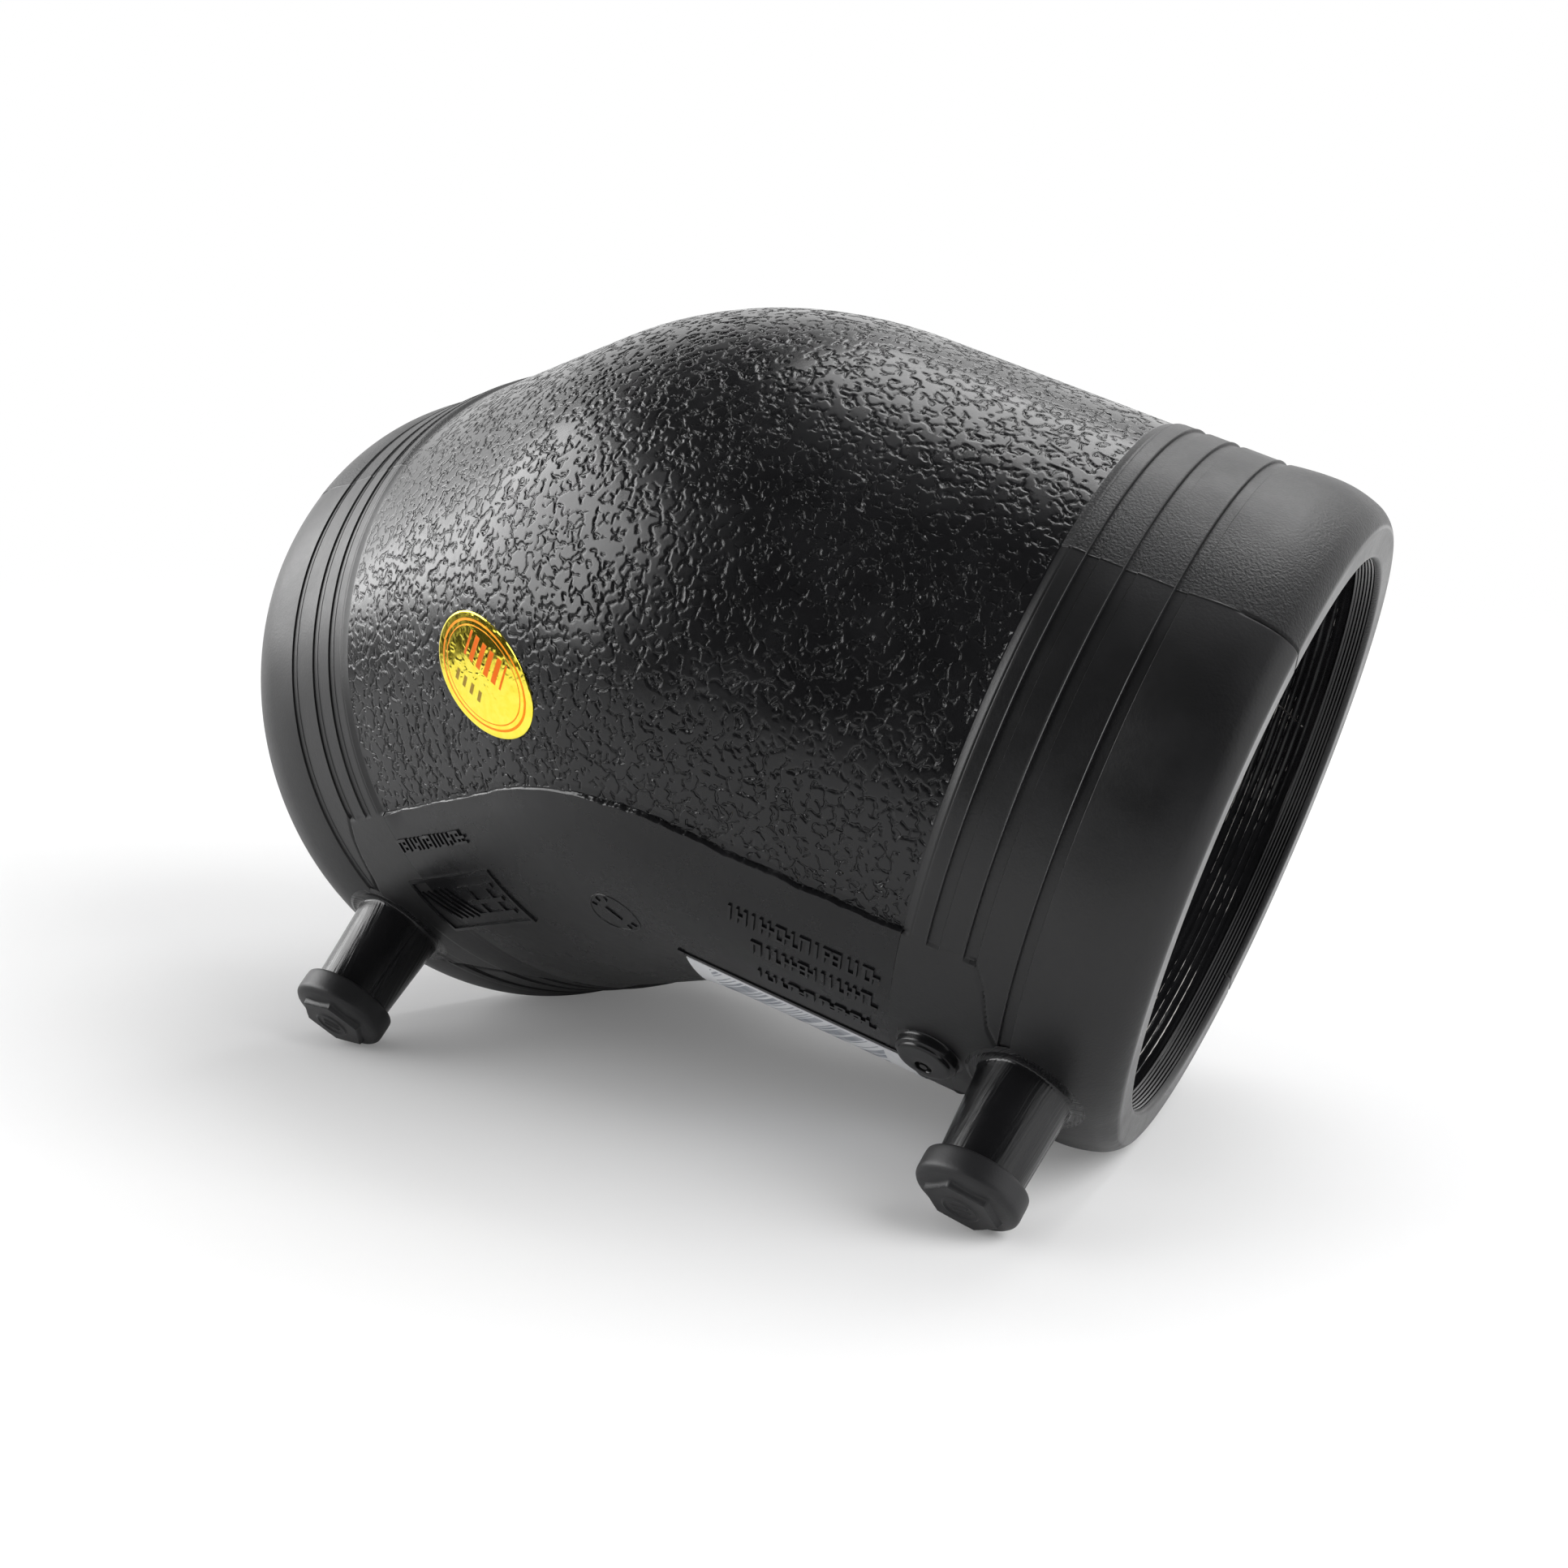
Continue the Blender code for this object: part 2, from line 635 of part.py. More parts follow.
def make_cap(side, parts, cutters, parent, material):
    """Push-on cap: a domed roof, a skirt outside the shroud and a short plug inside it."""
    shoulder = (CAP_RADIUS - CAP_SHOULDER_SHARE * CAP_WALL,
                CAP_SKIRT_TOP + CAP_SHOULDER_SHARE * CAP_ROOF)
    outline = [
        (0.0, CAP_TOP),
        (CAP_FLAT_RADIUS, CAP_TOP),
        shoulder,
        (CAP_RADIUS, CAP_SKIRT_TOP),
        (CAP_RADIUS, CAP_FOOT),
        (CAP_CAVITY_RADIUS, CAP_FOOT),
        (CAP_CAVITY_RADIUS, CAP_CEILING),
        (CAP_PLUG_RADIUS, CAP_CEILING),
        (CAP_PLUG_RADIUS, CAP_CEILING - CAP_PLUG_LENGTH),
        (0.0, CAP_CEILING - CAP_PLUG_LENGTH),
    ]
    place = socket_place(side, TERMINAL_STATION)
    cap = turned("terminal_cap_" + side_name(side), outline, parts, parent, place,
                 TURNED_SIDES, material)
    combine(cap, cap_pad(side, cutters, parent), "UNION")
    return cap


def make_indicator_pin(parts, parent, material):
    """Loose pin in the boss, with a small nub that shows in the hole."""
    outline = [
        (0.0, INDICATOR_PIN_TOP + INDICATOR_NUB_HEIGHT),
        (INDICATOR_NUB_RADIUS, INDICATOR_PIN_TOP + INDICATOR_NUB_HEIGHT),
        (INDICATOR_NUB_RADIUS, INDICATOR_PIN_TOP),
        (INDICATOR_PIN_RADIUS, INDICATOR_PIN_TOP),
        (INDICATOR_PIN_RADIUS, INDICATOR_PIN_FOOT),
        (0.0, INDICATOR_PIN_FOOT),
    ]
    return turned("fusion_indicator_pin", outline, parts, parent, indicator_pin_place(),
                  SMALL_SIDES, material)


def sticker_sheet(name, length, width, grid, is_oval):
    """Flat sheet about its middle; an oval one has its grid drawn in to an ellipse."""
    bm = bmesh.new()
    bmesh.ops.create_grid(bm, x_segments=grid[0], y_segments=grid[1], size=1.0)
    for vert in bm.verts:
        across, along = vert.co.x, vert.co.y
        if is_oval:
            across, along = (across * math.sqrt(1.0 - 0.5 * along * along),
                             along * math.sqrt(1.0 - 0.5 * across * across))
        vert.co = (0.5 * length * across, 0.5 * width * along, 0.0)
    return mesh_from_bmesh(name, bm)


def surface_frame(place, outward, turn):
    """Frame on the surface: its Z points outward and its X is turned from the socket's length."""
    across = Vector((0.0, 0.0, 1.0)).cross(outward).normalized()
    upright = outward.cross(across)
    frame = Matrix((across, upright, outward)).transposed().to_4x4()
    return Matrix.Translation(place) @ frame @ Matrix.Rotation(turn, 4, "Z")


def make_sticker(name, mesh, frame, body, parts, parent, material):
    """Thin sheet drawn onto the body and thickened outward."""
    sticker = new_object(name, mesh, parts, parent, material)
    sticker.matrix_local = frame
    wrap = sticker.modifiers.new("drawn_on", "SHRINKWRAP")
    wrap.wrap_method = "PROJECT"
    wrap.target = body
    wrap.use_project_z = True
    wrap.use_positive_direction = True
    wrap.use_negative_direction = True
    wrap.project_limit = 0.0
    wrap.offset = STICKER_GAP
    wrap.wrap_mode = "ABOVE_SURFACE"
    solid = sticker.modifiers.new("thickness", "SOLIDIFY")
    solid.thickness = STICKER_THICKNESS
    solid.offset = 1.0
    return sticker


def make_seal(body, parts, parent, material):
    """Oval quality seal on the shoulder of the bend."""
    mesh = sticker_sheet("quality_seal", SEAL_LENGTH, SEAL_WIDTH, SEAL_GRID, True)
    place = bend_point(SEAL_BEND_SHARE, BARREL_RADIUS, SEAL_AROUND)
    turn = HALF_BEND * SEAL_BEND_SHARE
    level = Vector((math.sin(turn), math.cos(turn), 0.0)) * math.cos(SEAL_AROUND)
    outward = level + Vector((0.0, 0.0, math.sin(SEAL_AROUND)))
    frame = surface_frame(place, outward, SEAL_TURN)
    return make_sticker("quality_seal", mesh, frame, body, parts, parent, material)


def make_label(body, parts, parent, material):
    """Oblong label on the panel of the right socket."""
    mesh = sticker_sheet("barcode_label", LABEL_LENGTH, LABEL_WIDTH, LABEL_GRID, False)
    place = straight_point(LABEL_STATION, BAND_RADIUS, LABEL_AROUND)
    outward = place - socket_place(1, LABEL_STATION)
    frame = surface_frame(place, outward.normalized(), 0.0)
    return make_sticker("barcode_label", mesh, frame, body, parts, parent, material)


def points_in_bend_frame(obj, depsgraph):
    """Evaluated corners of an object, in the frame of the empty that carries it."""
    mesh = obj.evaluated_get(depsgraph).data
    return [obj.matrix_local @ vert.co for vert in mesh.vertices]


def resting_tilt(cap_points, rim_points):
    """Angle at which the lowest edge of the caps and of the rims touch one table."""
    low, high = TILT_LIMITS
    for _ in range(TILT_TRIES):
        tilt = 0.5 * (low + high)
        down = Vector((0.0, math.cos(tilt), -math.sin(tilt)))
        cap_height = min(point.dot(down) for point in cap_points)
        rim_height = min(point.dot(down) for point in rim_points)
        if cap_height < rim_height:
            high = tilt
        else:
            low = tilt
    return tilt


def lay_on_table(carrier, objects, tilt):
    """Tip the whole elbow and set its box's bottom centre on the origin."""
    carrier.rotation_euler = (0.5 * math.pi + tilt, 0.0, 0.0)
    bpy.context.view_layer.update()
    depsgraph = bpy.context.evaluated_depsgraph_get()
    corners = []
    for obj in objects:
        evaluated = obj.evaluated_get(depsgraph)
        corners += [obj.matrix_world @ vert.co for vert in evaluated.data.vertices]
    depth = [corner.y for corner in corners]
    lowest = min(corner.z for corner in corners)
    carrier.location = (0.0, -0.5 * (min(depth) + max(depth)), -lowest)
    bpy.context.view_layer.update()


def build():
    clear_scene()
    parts = new_collection(COLLECTION_NAME)
    cutters = new_collection(CUTTER_COLLECTION_NAME)
    carrier = bpy.data.objects.new("resting_pose", None)
    parts.objects.link(carrier)

    polyethylene = plastic_or_metal("black_polyethylene", (0.012, 0.012, 0.013), 0.42)
    cap_plastic = plastic_or_metal("cap_plastic", (0.014, 0.014, 0.015), 0.55)
    wire_metal = plastic_or_metal("resistance_wire", (0.45, 0.33, 0.22), 0.35, 1.0)
    pin_metal = plastic_or_metal("terminal_metal", (0.72, 0.56, 0.30), 0.30, 1.0)
    seal_foil = plastic_or_metal("gold_foil", (0.85, 0.62, 0.08), 0.22, 1.0)
    label_paper = plastic_or_metal("label_paper", (0.80, 0.80, 0.80), 0.55)

    body = make_body(parts, cutters, carrier, polyethylene)
    rim_points = [vert.co.copy() for vert in body.data.vertices]
    coil = make_coil(parts, carrier, wire_metal)
    pins = [make_pin(side, parts, carrier, pin_metal) for side in (-1, 1)]
    caps = [make_cap(side, parts, cutters, carrier, cap_plastic) for side in (-1, 1)]
    indicator = make_indicator_pin(parts, carrier, polyethylene)
    shade_by_angle(body)
    seal = make_seal(body, parts, carrier, seal_foil)
    label = make_label(body, parts, carrier, label_paper)

    bpy.context.view_layer.update()
    depsgraph = bpy.context.evaluated_depsgraph_get()
    cap_points = [point for cap in caps for point in points_in_bend_frame(cap, depsgraph)]
    tilt = resting_tilt(cap_points, rim_points)
    lay_on_table(carrier, [body, coil, *pins, *caps, indicator, seal, label], tilt)


build()
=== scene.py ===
import json
import math

import bmesh
import bpy
import numpy as np
from mathutils import Matrix, Vector
from mathutils.bvhtree import BVHTree


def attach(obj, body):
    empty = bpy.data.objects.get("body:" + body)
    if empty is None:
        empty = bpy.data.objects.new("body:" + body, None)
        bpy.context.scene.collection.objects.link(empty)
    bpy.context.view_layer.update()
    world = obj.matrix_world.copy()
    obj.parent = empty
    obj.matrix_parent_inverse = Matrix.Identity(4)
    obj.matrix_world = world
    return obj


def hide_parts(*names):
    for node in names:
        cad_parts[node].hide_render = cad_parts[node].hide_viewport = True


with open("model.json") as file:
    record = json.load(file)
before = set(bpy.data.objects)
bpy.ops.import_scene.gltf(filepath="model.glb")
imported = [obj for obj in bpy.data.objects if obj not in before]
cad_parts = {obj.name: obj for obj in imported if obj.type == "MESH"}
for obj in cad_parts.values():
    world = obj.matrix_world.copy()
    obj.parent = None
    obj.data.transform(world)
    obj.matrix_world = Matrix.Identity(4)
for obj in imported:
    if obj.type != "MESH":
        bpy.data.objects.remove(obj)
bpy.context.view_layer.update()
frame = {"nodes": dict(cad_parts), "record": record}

MM = 0.001

# The bend and the barrel, in the bend's own frame: the socket axes cross at its origin,
# +Y points to the outside of the bend and +Z to the terminals
HALF_BEND = math.radians(22.5)
BEND_RADIUS = 20.0 * MM
INSIDE_FILLET = 12.0 * MM
FILLET_BLEND = 8.0 * MM
BARREL_RADIUS = 53.48 * MM
BAND_RADIUS = 54.0 * MM
SOCKET_REACH = 82.25 * MM
FACE_POINT_RADIUS = 48.2 * MM
STOP_STATION = 26.0 * MM
BORE_RADIUS = 45.3 * MM
FLOW_RADIUS = 39.0 * MM
RIDGE_PITCH = 0.52 * MM
RIDGE_HEIGHT = 0.17 * MM
BARE_WIRE_WAY = math.radians(150.0)

# End bands
BAND_START = 46.5 * MM
BAND_LEVEL = 48.0 * MM
GROOVES = ((50.4 * MM, 52.35 * MM), (56.1 * MM, 58.0 * MM), (63.7 * MM, 65.55 * MM))
GROOVE_DEPTH = 0.40 * MM
GROOVE_STEP = 0.08 * MM
GROOVE_OUTER = 0.26 * MM
BURR_HEIGHT = 0.10 * MM
BURR_WIDTH = 0.06 * MM
GROOVE_INNER_STEPS = (-0.2, -0.13, -0.07, -0.02, 0.0, 0.03, 0.06, 0.09)
GROOVE_OUTER_STEPS = (-0.1, -0.05, -0.02, 0.02, 0.05, 0.1)
GRAIN_CREASE = 47.9 * MM
BARREL_END = BAND_START + 0.02 * MM
SHROUD_CLEAR = (math.radians(80.0), math.radians(83.0), math.radians(101.0), math.radians(104.0))
CROWN_RISE = 0.475 * MM
CROWN_TOP = 72.3 * MM
CROWN_END = 78.8 * MM
NOSE_CURVE = ((78.8, 53.3), (80.6, 52.7), (82.05, 51.3), (82.22, 50.2))
MOUTH_CURVE = ((82.22, 46.35), (82.22, 45.75), (81.95, 45.35), (81.3, 45.3))
FACE_ROWS = 22
FLASH_RADIUS = 49.5 * MM
RIM_RADIUS = 51.0 * MM

# Information panel
PANEL_TOP = math.radians(66.0)
PANEL_FOOT = math.radians(126.0)
PANEL_BORDER = ((58.0, 66.4), (59.8, 70.0), (60.9, 74.0), (61.8, 78.0), (63.7, 81.5), (66.0, 84.0))
FOOT_BORDER = ((35.0, 125.0), (45.0, 118.0), (52.0, 112.0), (58.0, 107.0), (66.5, 102.5), (67.5, 98.0))
BORDER_MEET = math.radians(90.0)
LIP_DEPTH = 0.30 * MM
BORDER_DEPTH = 0.30 * MM
BORDER_WIDTH = 0.5 * MM

# Leather grain of the barrel
GRAIN_CELL = 2.1 * MM
GRAIN_WOBBLE = 1.6 * MM
GRAIN_WOBBLE_SIZE = 1.3 * MM
GRAIN_LINE = 0.08 * MM
GRAIN_SOFT = 0.13 * MM
GRAIN_BREAK_SIZE = 1.5 * MM
GRAIN_DEPTH = 0.17 * MM
PLATEAU_SWELL = 0.02 * MM
GRAIN_KEPT = (0.42, 0.47)
GRAIN_FADE = (0.1 * MM, 0.7 * MM)

# Strips of the barrel: angles from and to in degrees, then columns and rows of each half
BARREL_STRIPS = (("grained_barrel_front", -11.0, 64.45, 312, 306),
                 ("grained_barrel_top", -88.0, -11.0, 290, 250),
                 ("grained_barrel_back", -165.0, -88.0, 250, 170),
                 ("grained_barrel_under", -232.45, -165.0, 250, 150))

# Terminals, indicator and stickers
TERMINAL_STATION = 68.5 * MM
COLLAR_WAYS = {1: math.radians(165.0), -1: math.radians(95.0)}
PAD_WAYS = {1: math.radians(112.0), -1: math.radians(139.0)}
INDICATOR_STATION = 53.2 * MM
INDICATOR_OFFSET = -1.6 * MM
SEAL_BEND_SHARE = -0.86
SEAL_AROUND = math.radians(46.8)
SEAL_TURN = math.radians(-37.1)
SEAL_HALF_LENGTH = 12.9 * MM
SEAL_HALF_WIDTH = 8.1 * MM
LABEL_SPAN = (11.4 * MM, 50.0 * MM)
LABEL_CENTRE = math.radians(111.0)
LABEL_HALF_WIDTH = 11.0 * MM
STICKER_LIFT = 0.10 * MM

# Heating wire
COIL_RADIUS = 45.64 * MM
WIRE_RADIUS = 0.27 * MM
COIL_STATIONS = (32.25 * MM, 77.2 * MM)
COIL_TURNS = 36
COIL_FADE = 0.4 * MM
LEAD_WAY = math.radians(236.0)

# Raised marks on the panel, and where they sit
MARK_PITCH = 1.3 * MM
MARK_WIDTH = 0.5 * MM
MARK_HEIGHT = 0.6 * MM
MARK_FOOT = -0.1 * MM
PLATE_STATION = -38.2 * MM
PLATE_ANGLE = math.radians(85.9)
LINE_ANGLE = math.radians(97.5)
DIAL_DISTANCE = -2.0 * MM
DIAL_ANGLE = math.radians(91.5)
DIAL_TICK_RADIUS = 3.6 * MM

# Rows of bars: stations from and to in millimetres, angle in degrees, length of a bar and seed
MARK_ROWS = ((20.0, 45.6, 77.5, 3.3, 3), (24.0, 45.0, 83.7, 3.1, 9),
             (25.0, 45.0, 91.0, 2.2, 14), (-46.0, -25.0, 72.5, 2.4, 21))

# Handling marks on black plastic: how much they lighten and dull it
RUBBED_GAIN = 1.45
RUBBED_DULLS = 0.07
SCUFFS_DULL = 0.08

# Printed bars of the stickers, in cells to the millimetre
SEAL_CELLS = 0.46
LABEL_CELLS = 3.2

# Edges of neighbouring pieces run a little under each other
TUCK_ANGLE = 0.0018
TUCK_DEPTH = 0.2 * MM

SHARP_EDGE = math.radians(50.0)
FLAT_UV = "flat_mm"
WHITE = (1.0, 1.0, 1.0, 1.0)

# Round table that the part lies on, the room that shows in the gloss, and the fitted camera
FLOOR_RADIUS = 0.65
ROOM_RADIUS = 4.0
LAMP_AIM = (0.0, 0.0, 0.06)
CAMERA_PLACE = (0.261179, -0.357719, 0.147332)
CAMERA_TURN = (77.3943, -1.7538, 37.1615)
CAMERA_LENS = 63.2302
SENSOR_WIDTH = 36.0


# Where things are


def bend_frame():
    """The bend's own frame in the row's frame, from the two sockets stated in the record."""
    mounts = {mount["name"]: mount for mount in frame["record"]["mounts"]}
    right = mounts["right_socket_face"]
    left = mounts["left_socket_face"]
    axis = Vector(right["axis"])
    across = Vector((1.0, 0.0, 0.0))
    outward = -(axis + Vector(left["axis"])).normalized()
    lean = across * math.sin(HALF_BEND) + outward * math.cos(HALF_BEND)
    origin = Vector(right["pos_m"]) - axis * SOCKET_REACH - lean * FACE_POINT_RADIUS
    turn = Matrix((across, outward, across.cross(outward))).transposed().to_4x4()
    return Matrix.Translation(origin) @ turn


BEND = bend_frame()


def to_row(points):
    """Points of the bend's frame, as an array, in the row's frame."""
    turn = np.array(BEND.to_3x3())
    return points @ turn.T + np.array(BEND.translation)


def fillet_radius(offset):
    """Radius that a lengthwise line bends at, rounder on the inside of the bend."""
    along = BEND_RADIUS + offset
    spread = np.hypot(along - INSIDE_FILLET, FILLET_BLEND)
    return 0.5 * (along + INSIDE_FILLET + spread)


def line_distance(station, radius, angle):
    """Distance along a lengthwise line from the mirror plane to a station on the straight."""
    offset = radius * np.cos(angle)
    bend = fillet_radius(offset)
    return bend * HALF_BEND + station - (bend - offset) * math.tan(HALF_BEND)


def shell_point(distance, radius, angle):
    """Point of the bent tube, by its distance along the lengthwise line."""
    offset = radius * np.cos(angle)
    bend = fillet_radius(offset)
    arc = bend * HALF_BEND
    reach = np.abs(distance)
    turn = np.minimum(reach / arc, 1.0) * HALF_BEND
    beyond = np.maximum(reach - arc, 0.0)
    centre = (offset - bend) / math.cos(HALF_BEND)
    x = np.sign(distance) * (bend * np.sin(turn) + beyond * math.cos(HALF_BEND))
    y = centre + bend * np.cos(turn) - beyond * math.sin(HALF_BEND)
    return np.stack(np.broadcast_arrays(x, y, radius * np.sin(angle)), axis=-1)


def socket_point(side, station, radius, angle):
    """Point of a straight socket, by its station along the socket's axis."""
    offset = radius * np.cos(angle)
    x = side * (station * math.cos(HALF_BEND) + offset * math.sin(HALF_BEND))
    y = offset * math.cos(HALF_BEND) - station * math.sin(HALF_BEND)
    return np.stack(np.broadcast_arrays(x, y, radius * np.sin(angle)), axis=-1)


def terminal_point(side, station, offset, height):
    """Point beside the terminal axis: along the socket, sideways and up."""
    x = side * (station * math.cos(HALF_BEND) + offset * math.sin(HALF_BEND))
    y = offset * math.cos(HALF_BEND) - station * math.sin(HALF_BEND)
    return np.stack(np.broadcast_arrays(x, y, height), axis=-1)


def ease(low, high, value):
    """Smooth step from 0 at low to 1 at high; low may be the larger of the two."""
    share = np.clip((value - low) / (high - low), 0.0, 1.0)
    return share * share * (3.0 - 2.0 * share)


def side_name(stem, side):
    return stem + ("_right" if side > 0 else "_left")


def tucked(values, spare):
    """Values with one more at each end, that much further out."""
    return np.concatenate(([values[0] - spare], values, [values[-1] + spare]))


def turned(profile, angles):
    """Both columns of a profile, each repeated for every angle."""
    first = np.repeat(profile[:, :1], len(angles), axis=1)
    second = np.repeat(profile[:, 1:], len(angles), axis=1)
    return first, second


def waver(value, seed, shortest):
    """Smooth wandering between about -1 and 1, the same each run."""
    random = np.random.default_rng(seed)
    total = np.zeros_like(value)
    for octave in range(6):
        length = shortest * 1.7 ** octave
        total += math.sqrt(length) * np.sin(value * 2.0 * math.pi / length + random.uniform(0.0, 6.28))
    return total / (2.0 * math.sqrt(shortest * 1.7 ** 5))


def bezier(corners, steps):
    """Stations and radii in metres along a cubic curve given in millimetres."""
    share = np.linspace(0.0, 1.0, steps)[:, None]
    a, b, c, d = (np.array(corner) for corner in corners)
    rest = 1.0 - share
    curve = rest ** 3 * a + 3 * rest ** 2 * share * b + 3 * rest * share ** 2 * c + share ** 3 * d
    return curve * MM


# Meshes


def new_object(name, data):
    item = bpy.data.objects.new(name, data)
    bpy.context.scene.collection.objects.link(item)
    return item


def new_piece(name, mesh, material, slot, *nodes):
    """A finished piece that rides on the part and stands for one or more CAD nodes."""
    piece = new_object(name, mesh)
    mesh.materials.clear()
    mesh.materials.append(material)
    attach(piece, "root")
    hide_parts(*nodes)


def body_piece(name, mesh, material):
    """A piece of the one moulding."""
    new_piece(name, mesh, material, "black_polyethylene", "elbow_body")


def shade(mesh):
    mesh.shade_smooth()
    mesh.set_sharp_from_angle(angle=SHARP_EDGE)


def mesh_from(bm, name):
    mesh = bpy.data.meshes.new(name)
    bm.to_mesh(mesh)
    bm.free()
    return mesh


def flat_vertices(mesh):
    values = np.zeros(len(mesh.vertices) * 3)
    mesh.vertices.foreach_get("co", values)
    return values.reshape(-1, 3)


def move_vertices(mesh, points):
    """Puts a mesh's vertices at points of the bend's frame."""
    mesh.vertices.foreach_set("co", to_row(points).ravel())
    mesh.update()


def grid_mesh(name, points, wraps=False, flip=False):
    """Quad mesh over an array of points; wraps joins the last column to the first."""
    rows, columns = points.shape[:2]
    index = np.arange(rows * columns).reshape(rows, columns)
    if wraps:
        index = np.concatenate((index, index[:, :1]), axis=1)
    corners = [index[:-1, :-1], index[:-1, 1:], index[1:, 1:], index[1:, :-1]]
    if flip:
        corners.reverse()
    faces = np.stack(corners, axis=-1).reshape(-1, 4)
    mesh = bpy.data.meshes.new(name)
    mesh.from_pydata(points.reshape(-1, 3), [], faces)
    shade(mesh)
    return mesh


def store(mesh, name, values):
    """Number at each vertex, for the materials and Geometry Nodes to read."""
    attribute = mesh.attributes.new(name, "FLOAT", "POINT")
    attribute.data.foreach_set("value", np.ascontiguousarray(values, dtype=np.float32).ravel())


def store_uv(mesh, across, up):
    """UV map in millimetres, from one pair of values at each corner point."""
    layer = mesh.uv_layers.new(name=FLAT_UV)
    corner_vertex = np.zeros(len(mesh.loops), dtype=np.int32)
    mesh.loops.foreach_get("vertex_index", corner_vertex)
    flat = np.stack((across.ravel(), up.ravel()), axis=-1)[corner_vertex]
    layer.data.foreach_set("uv", (flat / MM).astype(np.float32).ravel())


# Node helpers


def add_node(tree, kind, inputs=None, **settings):
    """New node with its settings, and its inputs set or linked by name or number."""
    node = tree.nodes.new(kind)
    for name, value in settings.items():
        setattr(node, name, value)
    for key, value in (inputs or {}).items():
        if isinstance(value, bpy.types.NodeSocket):
            tree.links.new(value, node.inputs[key])
        else:
            node.inputs[key].default_value = value
    return node


def calc(tree, operation, *values):
    """Result of arithmetic on numbers, each plain or another node's output."""
    node = add_node(tree, "ShaderNodeMath", dict(enumerate(values)), operation=operation)
    return node.outputs[0]


def vector_calc(tree, operation, first, second):
    key = "Scale" if operation == "SCALE" else 1
    node = add_node(tree, "ShaderNodeVectorMath", {0: first, key: second}, operation=operation)
    return node.outputs[0]


def combined(tree, *values):
    """Vector from up to three numbers, with 0 for those left out."""
    return add_node(tree, "ShaderNodeCombineXYZ", dict(enumerate(values))).outputs[0]


def ramp(tree, value, low, high, start=0.0, end=1.0):
    """Value eased from start to end as it goes from low to high."""
    node = add_node(tree, "ShaderNodeMapRange",
                    {"Value": value, "From Min": low, "From Max": high, "To Min": start, "To Max": end},
                    interpolation_type="SMOOTHSTEP")
    return node.outputs["Result"]


def noise_node(tree, place, size, detail):
    """Noise whose features are about one size across, in metres."""
    return add_node(tree, "ShaderNodeTexNoise", {"Vector": place, "Scale": 1.0 / size, "Detail": detail})


def noise(tree, place, size, detail=2.0, stretch=None):
    """The noise's value, with its place stretched first where that is asked for."""
    if stretch is not None:
        place = add_node(tree, "ShaderNodeMapping", {"Vector": place, "Scale": stretch}).outputs[0]
    return noise_node(tree, place, size, detail).outputs[0]


def grain_lines(tree, place):
    """1 in the narrow broken grooves of the grain and 0 on the plateaus between them."""
    wobble = noise_node(tree, place, GRAIN_WOBBLE_SIZE, 0.0).outputs["Color"]
    centred = vector_calc(tree, "SUBTRACT", wobble, (0.5, 0.5, 0.5))
    moved = vector_calc(tree, "ADD", place, vector_calc(tree, "SCALE", centred, GRAIN_WOBBLE))
    cells = add_node(tree, "ShaderNodeTexVoronoi", {"Vector": moved, "Scale": 1.0 / GRAIN_CELL},
                     feature="DISTANCE_TO_EDGE")
    core = GRAIN_LINE / GRAIN_CELL
    lines = ramp(tree, cells.outputs["Distance"], core, core + GRAIN_SOFT / GRAIN_CELL, 1.0, 0.0)
    kept = ramp(tree, noise(tree, place, GRAIN_BREAK_SIZE, 0.0), *GRAIN_KEPT)
    return calc(tree, "MULTIPLY", lines, kept)


# Materials


def new_material(name):
    material = bpy.data.materials.new(name)
    material.use_nodes = True
    tree = material.node_tree
    shader = tree.nodes["Principled BSDF"]
    place = tree.nodes.new("ShaderNodeTexCoord").outputs["Object"]
    return material, tree, shader, place


def mixed_colour(tree, share, first, second):
    """Mix of two colours, each three plain numbers or another node's output."""
    ends = [end if isinstance(end, bpy.types.NodeSocket) else (*end, 1.0) for end in (first, second)]
    inputs = {"Factor": share, "A": ends[0], "B": ends[1]}
    return add_node(tree, "ShaderNodeMix", inputs, data_type="RGBA").outputs["Result"]


def feed(tree, shader, **values):
    """Links values to the shader's inputs, whose names are written with _ for a space."""
    for name, value in values.items():
        tree.links.new(value, shader.inputs[name.replace("_", " ")])


def add_bump(tree, shader, height, distance, before=None):
    inputs = {"Height": height, "Distance": distance, "Strength": 1.0}
    if before is not None:
        inputs["Normal"] = before
    bump = add_node(tree, "ShaderNodeBump", inputs)
    tree.links.new(bump.outputs[0], shader.inputs["Normal"])
    return bump.outputs[0]


def stored(tree, name):
    """Number that the mesh carries under a name."""
    return add_node(tree, "ShaderNodeAttribute", attribute_name=name).outputs["Fac"]


def flat_uv(tree):
    return add_node(tree, "ShaderNodeUVMap", uv_map=FLAT_UV).outputs[0]


